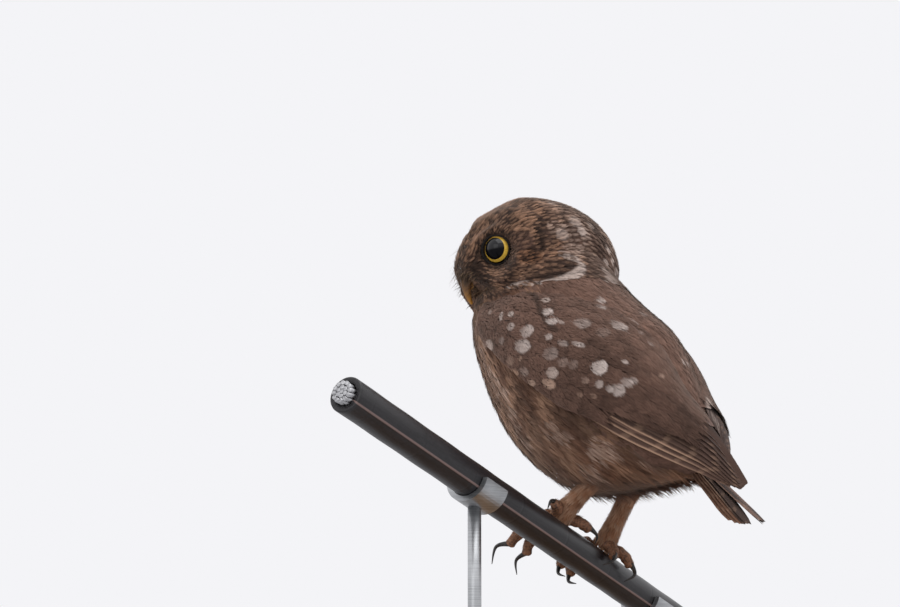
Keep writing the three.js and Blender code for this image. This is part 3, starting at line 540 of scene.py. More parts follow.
def roots_in_rows(place, first, last, spacing, draw, low=0.0, high=2 * np.pi, jitter=0.42):
    """Roots in staggered rows: rows at spacing[0] apart along a, each with a root every spacing[1] along b,
    and both shifted by a share of the spacing."""
    fine = np.linspace(first, last, 240)
    along = sum(path_length(place(fine, np.full_like(fine, turn))) for turn in ((low + high) / 2, low)) / 2
    rows = np.interp(np.arange(0, along[-1], spacing[0]), along, fine)
    turns = np.linspace(low, high, 97)
    found_a, found_b = [], []
    for i, row in enumerate(rows):
        reach = path_length(place(np.full_like(turns, row), turns))
        count = max(int(reach[-1] / spacing[1]), 3)
        places = (np.arange(count) + 0.5 * (i % 2) + draw.uniform(-jitter, jitter, count)) / count * reach[-1]
        found_b.append(np.interp(places % reach[-1], reach, turns))
        found_a.append(np.full(count, row))
    a, b = np.concatenate(found_a), np.concatenate(found_b)
    step = np.gradient(rows).mean() if len(rows) > 1 else 0
    return a + draw.uniform(-jitter, jitter, len(a)) * step, b


def feather_frames(place, outward, roots, lie):
    """Each feather's middle, the way it lies and the way across it, one under the other."""
    point, _, _, normal = slopes(place, *roots, outward)
    way = laid(lie, point, normal)
    return np.stack([point, way, np.cross(normal, way)], 1)


def feather_at(points, frames):
    """The number of the feather whose middle c is nearest to each point p, where |c|² - 2p·c is least."""
    middle = frames[:, 0]
    return ((middle**2).sum(1) - 2 * points @ middle.T).argmin(1)


def off_feather(points, frame):
    """How far points lie along and across from the middle of the feather given for each row of them."""
    shape = (len(frame),) + (1,) * (points.ndim - 2) + (3,)
    off = points - frame[:, 0].reshape(shape)
    return dot(off, frame[:, 1].reshape(shape)), dot(off, frame[:, 2].reshape(shape))


def gathered(line, normal, frame, wide, share, rise):
    """Barbs drawn across towards their feather's shaft by a share at the tip, and raised by rise·(1 -
    aside²/wide²)."""
    u = np.linspace(0, 1, line.shape[1])
    aside = off_feather(line, frame)[1]
    line = line - frame[:, None, 2] * (aside * share * u * u)[..., None]
    return line + normal * (rise * (1 - np.clip(aside / wide, -1, 1) ** 2) * u)[..., None]


# Feathers as meshes


def round_tip(u):
    """A vane's half width along its length: it widens from half, then closes in a round tip."""
    past = np.maximum(0, (u - 0.55) / 0.49)
    return np.minimum(1, 0.5 + 1.4 * u) * np.sqrt(np.maximum(1 - past**3, 0))


def pointed_tip(u):
    """A tuft's half width along its length: it widens a little, then tapers to a point."""
    return np.minimum(1, 0.6 + 2 * u) * np.maximum(1 - u, 0.0) ** 0.7


def soft_tip(u):
    """A flake's half width along its length: it widens a little, then closes in a blunt point."""
    return np.minimum(1, 0.5 + 2 * u) * np.maximum(1 - u**3, 0.0) ** 0.6


def grid_faces(count, rows, columns):
    """Quads of count separate grids, each rows by columns of vertices in turn."""
    corner = np.arange(rows - 1)[:, None] * columns + np.arange(columns - 1)[None]
    quad = np.stack([corner, corner + 1, corner + columns + 1, corner + columns], -1).reshape(-1, 4)
    return (np.arange(count)[:, None, None] * rows * columns + quad[None]).reshape(-1, 4)


def feather_faces(points, normal):
    """Quads of feathers' grids, wound so that each feather faces along its normal."""
    count, rows, columns = points.shape[:3]
    faces = grid_faces(count, rows, columns).reshape(count, -1, 4)
    middle = rows // 2
    across = points[:, middle, -1] - points[:, middle, 0]
    along = points[:, middle, 0] - points[:, middle - 1, 0]
    turned_in = dot(np.cross(across, along), normal[:, middle]) < 0
    faces[turned_in] = faces[turned_in][..., ::-1]
    return faces.reshape(-1, 4)


def vane_mesh(line, normal, width, outline, columns, cup=0.12, sweep=0.0, tilt=0.0, ragged=0.0, draw=None):
    """Feathers as grids. A point is line(u) + side·half·outline(u)·q - normal·cup·half·q² +
    along·sweep·half·|q| for q from -1 to 1, where side lies across the feather, and tilt lifts its q = 1
    edge. ragged moves the edges' points at random. Gives points (feathers, rows, columns, 3) and the two
    coordinates u and q of each."""
    count, rows = line.shape[:2]
    along = unit(np.gradient(line, axis=1))
    side = unit(np.cross(normal, along))
    u, q = np.linspace(0, 1, rows)[:, None], np.linspace(-1, 1, columns)
    whole = (width / 2)[:, None, None]
    half = whole * outline(u)
    frayed = [0.0, 0.0]
    if ragged:
        frayed = [ragged * draw.uniform(-1, 1, (count, rows, columns)) * np.abs(q) for _ in range(2)]
    forward = whole * (sweep * np.abs(q) * u * (1 - u) * 4 + frayed[1])
    rise = np.asarray(tilt)[..., None, None] * q * outline(u) - cup * half * q * q
    points = line[:, :, None] + side[:, :, None] * (half * q * (1 + frayed[0]))[..., None]
    points = points + normal[:, :, None] * rise[..., None] + along[:, :, None] * forward[..., None]
    coordinates = np.stack(np.broadcast_arrays(u, q), -1)
    return points, np.broadcast_to(coordinates, (count, rows, columns, 2))


def new_piece(name, points, faces, material, maps=None, colours=None):
    """A shown piece: points in millimetres in the owl's frame, faces as an array of quads or triangles, maps
    as {UV layer: values per vertex} and colours as {attribute: four values per vertex}. It rides on the root
    body."""
    mesh = bpy.data.meshes.new(name)
    points = (points.reshape(-1, 3) + OWL_PLACE) / 1000
    mesh.vertices.add(len(points))
    mesh.vertices.foreach_set("co", points.astype(np.float32).ravel())
    mesh.loops.add(faces.size)
    mesh.loops.foreach_set("vertex_index", faces.astype(np.int32).ravel())
    mesh.polygons.add(len(faces))
    mesh.polygons.foreach_set("loop_start", np.arange(0, faces.size, faces.shape[1], dtype=np.int32))
    mesh.polygons.foreach_set("use_smooth", np.ones(len(faces), bool))
    mesh.update(calc_edges=True)
    for layer, values in (maps or {}).items():
        corners = values.reshape(-1, 2)[faces.ravel()]
        mesh.uv_layers.new(name=layer).data.foreach_set("uv", corners.astype(np.float32).ravel())
    for layer, values in (colours or {}).items():
        attribute = mesh.attributes.new(layer, "FLOAT_COLOR", "POINT")
        attribute.data.foreach_set("color", values.astype(np.float32).ravel())
    mesh.validate()
    mesh.materials.append(material)
    piece = bpy.data.objects.new(name, mesh)
    bpy.context.scene.collection.objects.link(piece)
    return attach(piece, "root")


def close_up(piece, distance=2e-6):
    """Closes the seams and poles of a piece made from grids, and turns its shells' faces outwards."""
    work = bmesh.new()
    work.from_mesh(piece.data)
    bmesh.ops.remove_doubles(work, verts=work.verts, dist=distance)
    bmesh.ops.dissolve_degenerate(work, edges=work.edges, dist=1e-7)
    bmesh.ops.recalc_face_normals(work, faces=work.faces)
    work.to_mesh(piece.data)
    work.free()


def patch_map(root_map, coordinates, size=0.003):
    """The OFBake map: each feather is a patch of the given size at its root's place on its skin's unwrap."""
    u, q = coordinates[..., 0], coordinates[..., 1]
    return np.stack([
        root_map[:, 0, None, None] + size * q / 2, root_map[:, 1, None, None] + size * (u - 0.5),
    ], -1)


def unwrap(a, b, low, high):
    """Places on a skin's unwrap, between 0.03 and 0.97 both ways: a from low to high, and the turn b."""
    return 0.03 + 0.94 * np.stack([(a - low) / (high - low), (b % (2 * np.pi)) / (2 * np.pi)], -1)


def cells(count):
    """The column and row of each of count cells in a square, and how many the square has aside."""
    square = int(np.ceil(np.sqrt(count)))
    return np.stack([np.arange(count) % square, np.arange(count) // square], -1), square


def cell_map(coordinates):
    """The OFBake map of large feathers: each fills a cell of its own in a square of cells."""
    cell, square = cells(len(coordinates))
    return (cell[:, None, None] + 0.08 + 0.84 * (coordinates * [1, 0.5] + [0, 0.5])) / square


def tinted(colour, alpha=None):
    """Four values per vertex from three."""
    alpha = np.ones(colour.shape[:-1]) if alpha is None else np.broadcast_to(alpha, colour.shape[:-1])
    return np.concatenate([colour, alpha[..., None]], -1).reshape(-1, 4)


def spread_out(values, coordinates):
    """One row of values per feather, given to all its vertices."""
    return np.broadcast_to(values[:, None, None], (*coordinates.shape[:3], values.shape[-1]))


def blended(first, second, share):
    return first + (second - first) * np.asarray(share)[..., None]


def waves(points, size, seed):
    """A smooth random value about -1 to 1 from six waves of about the given size in random directions."""
    draw = np.random.default_rng(seed)
    ways = unit(draw.normal(size=(6, 3))) * 2 * np.pi / (size * draw.uniform(0.7, 1.5, (6, 1)))
    return np.sin(points @ ways.T + draw.uniform(0, 2 * np.pi, 6)).sum(-1) / 2.6


def near_path(points, path, reach):
    """How near points lie to a path: 1 within 0.6 of the reach, falling to 0 at the reach, measured to 24
    points at even distances along the smooth curve."""
    off = np.linalg.norm(points[:, None] - even_path(path, 24)[None], axis=2).min(1)
    return 1 - smooth(off, 0.6 * reach, reach)


# Shaders


class Value:
    """A socket in a sum: +, -, *, / and ** with numbers or other values, on either side, add Math nodes, and
    so do root (square root), size (without its sign), sine and part (after the point)."""

    def __init__(self, shading, socket):
        self.shading, self.socket = shading, socket

    def math(self, operation, *terms):
        return self.shading.node("ShaderNodeMath", {"operation": operation}, dict(enumerate(terms)))

    def band(self, low, high):
        """0 at low, 1 at high, smooth between; low may be the larger."""
        return self.shading.node(
            "ShaderNodeMapRange",
            {"interpolation_type": "SMOOTHSTEP", "clamp": True},
            {"Value": self, "From Min": low, "From Max": high},
        )


SUMS = {"add": "ADD", "sub": "SUBTRACT", "mul": "MULTIPLY", "truediv": "DIVIDE", "pow": "POWER"}
for name, operation in SUMS.items():
    setattr(Value, f"__{name}__", lambda self, other, operation=operation: self.math(operation, self, other))
    setattr(Value, f"__r{name}__", lambda self, other, operation=operation: self.math(operation, other, self))
for name, operation in {"root": "SQRT", "size": "ABSOLUTE", "sine": "SINE", "part": "FRACT"}.items():
    setattr(Value, name, lambda self, operation=operation: self.math(operation, self))


class Shading:
    """A material on one Principled shader, built from values. Constants go straight onto its sockets."""

    def __init__(self, name, **constants):
        self.material = bpy.data.materials.new(name)
        self.material.use_nodes = True
        self.nodes = self.material.node_tree.nodes
        self.links = self.material.node_tree.links
        self.shader = self.nodes["Principled BSDF"]
        self.set(**constants)

    def _feed(self, socket, value):
        if isinstance(value, Value):
            self.links.new(value.socket, socket)
        elif hasattr(socket.default_value, "__len__"):
            value = list(value)
            socket.default_value = value + [1.0] * (len(socket.default_value) - len(value))
        else:
            socket.default_value = float(value)

    def node(self, kind, settings=None, inputs=None, output=0):
        made = self.nodes.new(kind)
        for key, value in (settings or {}).items():
            setattr(made, key, value)
        for key, value in (inputs or {}).items():
            self._feed(made.inputs[key], value)
        return Value(self, made.outputs[output])

    def set(self, **sockets):
        for name, value in sockets.items():
            self._feed(self.shader.inputs[name.replace("_", " ")], value)

    def attribute(self, name, output="Color"):
        return self.node("ShaderNodeAttribute", {"attribute_name": name}, output=output)

    def tint(self, light):
        """Each vertex's own tint, lighter or darker by a value."""
        inputs = {0: self.attribute("tint"), "Scale": light}
        return self.node("ShaderNodeVectorMath", {"operation": "SCALE"}, inputs)

    def parts(self, vector):
        made = self.nodes.new("ShaderNodeSeparateXYZ")
        self._feed(made.inputs[0], vector)
        return [Value(self, socket) for socket in made.outputs]

    def map(self, name):
        """The two coordinates of a UV map as values."""
        return self.parts(self.node("ShaderNodeUVMap", {"uv_map": name}))[:2]

    def place(self):
        return self.node("ShaderNodeTexCoord", output="Object")

    def noise(self, vector, scale, detail=2.0, roughness=0.5):
        inputs = {"Vector": vector, "Scale": scale, "Detail": detail, "Roughness": roughness}
        return self.node("ShaderNodeTexNoise", None, inputs)

    def drawn(self, x, y, z=0.0, detail=3.0, roughness=0.6):
        """Noise drawn out by a different scale for each of three coordinates."""
        return self.noise(self.node("ShaderNodeCombineXYZ", None, {0: x, 1: y, 2: z}), 1.0, detail, roughness)

    def mix(self, first, second, factor):
        made = self.nodes.new("ShaderNodeMix")
        made.data_type, made.clamp_factor = "RGBA", True
        self._feed(made.inputs["Factor"], factor)
        for socket, value in zip([s for s in made.inputs if s.type == "RGBA"], (first, second)):
            self._feed(socket, value)
        return Value(self, next(s for s in made.outputs if s.type == "RGBA"))

    def bump(self, height, strength, distance):
        inputs = {"Strength": strength, "Distance": distance, "Height": height}
        self.set(Normal=self.node("ShaderNodeBump", None, inputs))


def coat_material(name):
    """Soft plumage: each vertex's own tint, flecked by noise at two sizes."""
    shading = Shading(name, Roughness=0.85, Specular_IOR_Level=0.2, Sheen_Weight=0.4, Sheen_Roughness=0.45,
                      Sheen_Tint=(0.8, 0.66, 0.56))
    place = shading.place()
    fine = shading.noise(place, 1400.0, 3.0, 0.6)
    broad = shading.noise(place, 160.0, 2.0, 0.5)
    shading.set(Base_Color=shading.tint(1 + FLECK * (fine + broad - 1)))
    return shading.material


def vane_material(name):
    """Flight and tail feathers: the vertex's tint, bars given per feather, a dark shaft, pale edges and barbs
    that leave the shaft at a slant, as noise drawn out along them and as a fine bump."""
    pale, = coat_colours("buff")
    shading = Shading(name, Roughness=0.75, Specular_IOR_Level=0.25, Sheen_Weight=0.08, Sheen_Roughness=0.5)
    u, q = shading.map("Vane")
    along, across = shading.map("Barbs")
    bars_count, bars_depth, bars_edge = shading.parts(shading.attribute("bars"))
    aside = q.size()
    barb_line = along - across.size() * 0.9
    barbs = shading.drawn(barb_line * 22.0, across * 1.5, roughness=0.65)
    patches = shading.drawn(along * 1.2, across * 1.2, detail=2.0, roughness=0.5)
    wobble = (barbs - 0.5) * 0.5
    wave = ((u * bars_count + q * 0.25 + wobble * 0.2 + patches * 0.3).part() - 0.5).size()
    bars = wave.band(0.33, 0.44) * (q * bars_edge + wobble * 0.3).band(0.05, 0.6) * bars_depth
    shaft = aside.band(0.08, 0.02) * 0.4
    fringe = (q * bars_edge + wobble * 0.25).band(0.78, 0.98) * u.band(0.95, 0.5)
    fringe = fringe * shading.attribute("bars", "Alpha")
    colour = shading.mix(shading.tint(0.7 + 0.36 * barbs + 0.24 * patches), pale, fringe)
    colour = shading.mix(colour, pale, bars)
    shading.set(Base_Color=shading.mix(colour, (0.03, 0.02, 0.015), shaft))
    shading.bump((barb_line * 380.0).sine() * 0.5 + aside.band(0.0, 0.12) * -0.6, 0.2, 0.0002)
    return shading.material


# Settings a user would change


def colour_setting(name, description, red, green, blue):
    """A colour that a user may change, its default given in parts of 255."""
    return FloatVectorProperty(
        name=name, description=description, subtype="COLOR", size=3, min=0, max=1,
        default=tuple(tone(red, green, blue)))


class PlumageSettings(bpy.types.PropertyGroup):
    """Sizes and colours of the coat."""

    density: FloatProperty(
        name="Density", description="How many feathers grow, as a share of the full coat",
        default=1.0, min=0.3, max=1)
    depth: FloatProperty(
        name="Coat depth", description="How far the skin lies under the plumage's outline",
        default=0.0028, min=0.001, max=0.005, unit="LENGTH")
    brown: colour_setting("Brown", "The back and the wings", 119, 90, 77)
    dark: colour_setting("Dark brown", "Crown, flight feathers and the bases of streaks", 72, 52, 43)
    buff: colour_setting("Buff", "Breast, belly and the streaks of the head", 172, 138, 114)
    pale: colour_setting("Pale", "The spots of the wings and nape", 205, 190, 182)
    rufous: colour_setting("Rufous", "Legs, ear coverts and the tinge of the belly", 164, 114, 82)


class EyeSettings(bpy.types.PropertyGroup):
    """The eyes and the bill."""

    iris: colour_setting("Iris", "The yellow of the iris", 236, 192, 78)
    pupil: FloatProperty(
        name="Pupil", description="The pupil's width as a share of the opening's",
        default=0.88, min=0.3, max=0.9, subtype="FACTOR")
    lift: FloatProperty(
        name="Pupil's lift",
        description="How far the pupil sits over the opening's middle, as a share of its half width",
        default=0.09, min=-0.2, max=0.2, subtype="FACTOR")
    aside: FloatProperty(
        name="Pupil forward",
        description="How far the pupil sits towards the bill, as a share of the opening's half width",
        default=0.05, min=-0.2, max=0.2, subtype="FACTOR")
    horn: colour_setting("Bill", "The horn of the bill", 176, 122, 48)


class PerchSettings(bpy.types.PropertyGroup):
    """The cable and the stand."""

    jacket: colour_setting("Jacket", "The cable's black jacket", 40, 37, 40)
    seam: colour_setting("Seam", "The marking line along the jacket", 132, 108, 102)
    wood: colour_setting("Wood", "The base", 158, 122, 86)


class StageSettings(bpy.types.PropertyGroup):
    """Camera, floor and light."""

    lens: FloatProperty(
        name="Focal length", description="Of the camera, on a 36 mm wide frame",
        default=103.2, min=20, max=300)
    distance: FloatProperty(
        name="Distance", description="From the camera to the point it looks at",
        default=1.2, min=0.3, max=5, unit="LENGTH")
    bearing: FloatProperty(
        name="Bearing", description="Turn of the view about the vertical", default=35 * DEG, subtype="ANGLE")
    rise: FloatProperty(
        name="Rise", description="How far the camera looks up", default=8 * DEG, subtype="ANGLE")
    sky: colour_setting("Surround", "The pale surround", 244, 244, 247)
    key: FloatProperty(
        name="Soft light", description="Power of the large light overhead, in watts",
        default=14.0, min=0, max=200)
    seed: IntProperty(name="Seed", description="Of the coat's random draws", default=7)


def settings():
    return bpy.context.scene.owl_plumage


def coat_colours(*names):
    """Colours of the coat from the settings, by their names."""
    return [np.array(getattr(settings(), name)) for name in names]


def draws(piece):
    """The random draws of one piece by its number, so that no piece's depend on another's."""
    return np.random.default_rng(bpy.context.scene.owl_stage.seed + piece)


# Coats


def coat(name, line, normal, width, tint, root_map, material, outline=pointed_tip):
    """A piece of many small feathers on lines, with a tint per vertex and the OFBake map."""
    points, coordinates = vane_mesh(line, normal, width, outline, 2)
    maps = {"OFBake": patch_map(root_map, coordinates)}
    colours = {"tint": tinted(tint(points, coordinates))}
    return new_piece(name, points, feather_faces(points, normal), material, maps, colours)


def raised(line, normal, low, high):
    """Lines lifted off their surface from low at the root to high at the tip, each one number or one per
    line. They rise quickly and then lie flat, by the power 0.3 of their length."""
    share = np.linspace(0, 1, line.shape[1]) ** 0.3
    low, high = np.broadcast_to(low, len(line)), np.broadcast_to(high, len(line))
    return line + normal * (low[:, None] + (high - low)[:, None] * share)[..., None]


def downwards(points, normals):
    """The lie of the trunk's coat: back towards the tail, and down on the breast and the belly."""
    return unit(VENT - points) + np.array([0, 0.25, -0.15])


def away_from_bill(points, normals):
    """The lie of the head's coat: away from the bill, near each eye away from the eye, so that a disc of rays
    stands round it, and down on the back of the head."""
    local = to_head(points)
    way = unit(local - BILL_ROOT)
    for side in SIDES.values():
        off = local - EYE_PLACE * [side, 1, 1]
        near = np.exp(-((np.linalg.norm(off, axis=1) / 11.0) ** 4))[:, None]
        way = way + 1.2 * near * unit(off)
    way = way + 0.35 * BACK - smooth(local[:, 1], 8, 26)[:, None] * np.array([0, 0.25, 1.3])
    return way @ HEAD_TURN.T


def tube_grid(path, radius_at, sides):
    """Rings across a path: path + (cos·normal + sin·binormal)·radius. The frames are carried along the path
    by laying the last normal into each new plane. Rows are rings and the last column is the first again."""
    along = unit(np.gradient(path, axis=0))
    normal = np.empty_like(path)
    normal[0] = unit(np.cross(along[0], FIRST_SIDE))
    for i in range(1, len(path)):
        normal[i] = unit(normal[i - 1] - dot(normal[i - 1], along[i]) * along[i])
    turn = np.linspace(0, 2 * np.pi, sides + 1)[None]
    radius = np.broadcast_to(radius_at(np.linspace(0, 1, len(path))[:, None], turn), (len(path), sides + 1))
    return path[:, None] + around(turn, normal[:, None], np.cross(along, normal)[:, None]) * radius[..., None]


def domed(grid, path, blunt=0.6):
    """A tube's grid with its two ends closed: rings at 0.85 and 0.5 of the last radius, then a point on the
    axis."""
    along = unit(np.gradient(path, axis=0))
    parts = [grid]
    for i, sign in ((0, -1), (-1, 1)):
        radius = np.linalg.norm(grid[i] - path[i], axis=1).mean()
        rings = [path[i] + (grid[i] - path[i]) * size + along[i] * sign * blunt * radius * reach
                 for size, reach in ((0.85, 0.45), (0.5, 0.85), (0.0, 1.0))]
        parts = [np.stack(rings[::-1]), *parts] if i == 0 else [*parts, np.stack(rings)]
    return np.concatenate(parts)


def grids_piece(name, grids, material, maps=None, colours=None):
    """One piece from several grids of points, its seams and poles merged."""
    points, faces, start = [], [], 0
    for grid in grids:
        rows, columns = grid.shape[:2]
        points.append(grid.reshape(-1, 3))
        faces.append(grid_faces(1, rows, columns) + start)
        start += rows * columns
    piece = new_piece(name, np.concatenate(points), np.concatenate(faces), material, maps, colours)
    close_up(piece)
    return piece


def shin_radius(share):
    return SHIN["top"] - SHIN["waist"] * np.sin(SHIN["waist_end"] * np.pi * share)


def lifted(place, outward, a, b, lift):
    """A surface moved along its normal."""
    point, _, _, normal = slopes(place, a, b, outward)
    return point + normal * np.broadcast_to(lift, a.shape)[..., None]


def wing_side(side):
    return lambda s, t: wing_place(side, s, t)


# Operators, one for each piece or group of like pieces


class OWL_OT_skin(bpy.types.Operator):
    """Make the one skin under the coat of head, neck, trunk, wings and legs, by joining their shells"""

    bl_idname = "owl.skin"
    bl_label = "Skin"

    def execute(self, context):
        depth = settings().depth * 1000
        turns = np.linspace(0, 2 * np.pi, 49)
        shells = [lifted(trunk_place, -1.0, *crossed(np.linspace(0, len(TRUNK) - 1, 60), turns), -depth)]
        direction = head_direction(*crossed(np.linspace(0.001, np.pi - 0.001, 50), turns))
        shells.append(from_head(direction * (skull_radius(direction) - depth)[..., None]))
        for foot in FEET.values():
            hock, ankle = np.array(foot["hock"], float), by_cable(foot["ankle"])
            path = hock + (ankle - hock) * np.linspace(0, 1, 16)[:, None]
            shells.append(tube_grid(path, lambda share, turn: shin_radius(share) - SKIN["under_leg"], 20))
        for side in SIDES.values():
            s, t = crossed(np.linspace(0.0, SKIN["wing_end"], 30), np.linspace(0.14, 0.95, 14))
            thickness = wing_row(side, s)[3] * (1 - 0.75 * (s / SKIN["wing_end"]) ** 3)
            face, lining = (lifted(wing_side(side), -side, s, t, -depth - under)
                            for under in (0, np.maximum(thickness - 1, SKIN["thinnest"])))
            shells.append(np.concatenate([face, lining[:, ::-1], face[:, :1]], 1))
        shells = [np.concatenate([np.broadcast_to(shell[:1].mean(1, keepdims=True), shell[:1].shape), shell,
                                  np.broadcast_to(shell[-1:].mean(1, keepdims=True), shell[:1].shape)])
                  for shell in shells]
        shading = Shading("Skin under the coat", Roughness=0.9, Specular_IOR_Level=0.2)
        mottle = shading.noise(shading.place(), 220.0, 4.0, 0.6)
        dark, brown = coat_colours("dark", "brown")
        shading.set(Base_Color=shading.mix(dark * 0.7, brown * 0.6, mottle.band(0.3, 0.7)))
        shading.bump(mottle, 0.4, 0.0004)
        piece = grids_piece("skin", shells, shading.material)
        remesh = piece.modifiers.new("One skin", "REMESH")
        remesh.mode, remesh.voxel_size, remesh.use_smooth_shade = "VOXEL", SKIN["voxel"] / 1000, True
        whole = bpy.data.meshes.new_from_object(piece.evaluated_get(context.evaluated_depsgraph_get()))
        piece.modifiers.clear()
        piece.data = whole
        whole.materials.clear()
        whole.materials.append(shading.material)
        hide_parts("head", "neck", "torso", "leg_left", "leg_right")
        return {"FINISHED"}


def head_tone(place, draw):
    """Each barb's ground, its streak and how strong that streak is, from its place in the head's own frame (x
    left, y back, z up): streaked brown, darker round eyes and bill, with painted shade along the brow, the
    ear patch and the marks of HEAD_STREAKS."""
    brown, dark, buff, pale, rufous = coat_colours("brown", "dark", "buff", "pale", "rufous")
    direction = unit(place)
    local = direction * skull_radius(direction)[:, None]
    y, z = local.T[1:]
    near = left_side(local)
    random = draw.uniform(-1, 1, len(local))
    rear, crown = smooth(y, -2, 14), smooth(z, 6, 16)
    mottle = waves(near, 9, 12) + 0.5 * waves(near, 4, 14) + 0.3 * random
    ground = blended(dark * 0.64, brown, np.clip(0.18 + 0.16 * mottle + 0.16 * rear, 0, 1))
    streak = blended(blended(buff, rufous, 0.4), blended(buff, pale, 0.3), rear * 0.8)
    strength = np.clip(0.7 + 0.16 * crown * (1 - rear) - 0.08 * rear + 0.34 * mottle, 0.05, 1)
    marks = {name: near_path(near, path, reach) for name, (path, reach) in HEAD_STREAKS.items()}
    off_eye = np.linalg.norm(near - EYE_PLACE, axis=1)
    # The lores and the feathers before each eye are dark; along the brow the darkening is painted shade under
    # its overhang
    marks["shade"] = np.maximum(marks["lores"], (1 - smooth(off_eye, 7.5, 10)) * smooth(-y, 19, 25))
    marks["shade"] = np.maximum(marks["shade"], marks["brow"] * 0.9)
    # How dark each mark makes the ground, and how much of the streak it takes away
    for name, tint, share, loss in (
            ("shade", dark * 0.4, 0.85, 0.7), ("ear patch", blended(dark, brown, 0.6), 0.8, 0.55),
            ("line behind the ear", dark * 0.4, 0.8, 0.85), ("line under the ear", dark * 0.4, 0.7, 0.7),
            ("patch over the ruff", dark * 0.6, 0.6, 0.5)):
        ground = blended(ground, tint, share * marks[name])
        strength = strength * (1 - loss * marks[name])
    front, nape = crown * (1 - smooth(y, -14, -4)), rear * smooth(-z, 2, 9)
    ground = ground * (1 - 0.25 * front)[:, None]
    strength = np.clip(strength + 0.25 * front, 0, 1) * (1 - 0.5 * nape)
    streak = blended(streak, blended(pale, buff, 0.4), 0.5 * marks["grey patch"])
    strength = np.clip(strength + 0.25 * marks["grey patch"], 0, 1)
    warm = marks["rufous streak"] * (0.7 + 0.3 * random)
    streak, strength = blended(streak, rufous * 1.1, warm), np.maximum(strength, 0.9 * warm)
    light = 0.94 + 0.12 * draw.uniform(-1, 1, (len(local), 1))
    return ground * light, streak * light, strength


def head_white(points):
    """How pale the ruff, its thin end and the nape's spots make points of the head's coat."""
    direction = unit(points)
    near = left_side(direction * skull_radius(direction)[:, None])
    ragged = waves(near, 1.1, 15)
    white = near_path(near, *HEAD_STREAKS["ruff"]) * (0.9 + 0.1 * ragged)
    for name in ("ruff's upper end", "ruff's thin end"):
        white = np.maximum(white, near_path(near, *HEAD_STREAKS[name]) * np.clip(0.35 + 0.8 * ragged, 0, 0.9))
    for place, radius, share in HEAD_SPOTS:
        off = np.linalg.norm(near - np.array(place), axis=1) / radius + 0.1 * ragged
        white = np.maximum(white, share * (1 - smooth(off, 0.8, 1.05)))
    return white


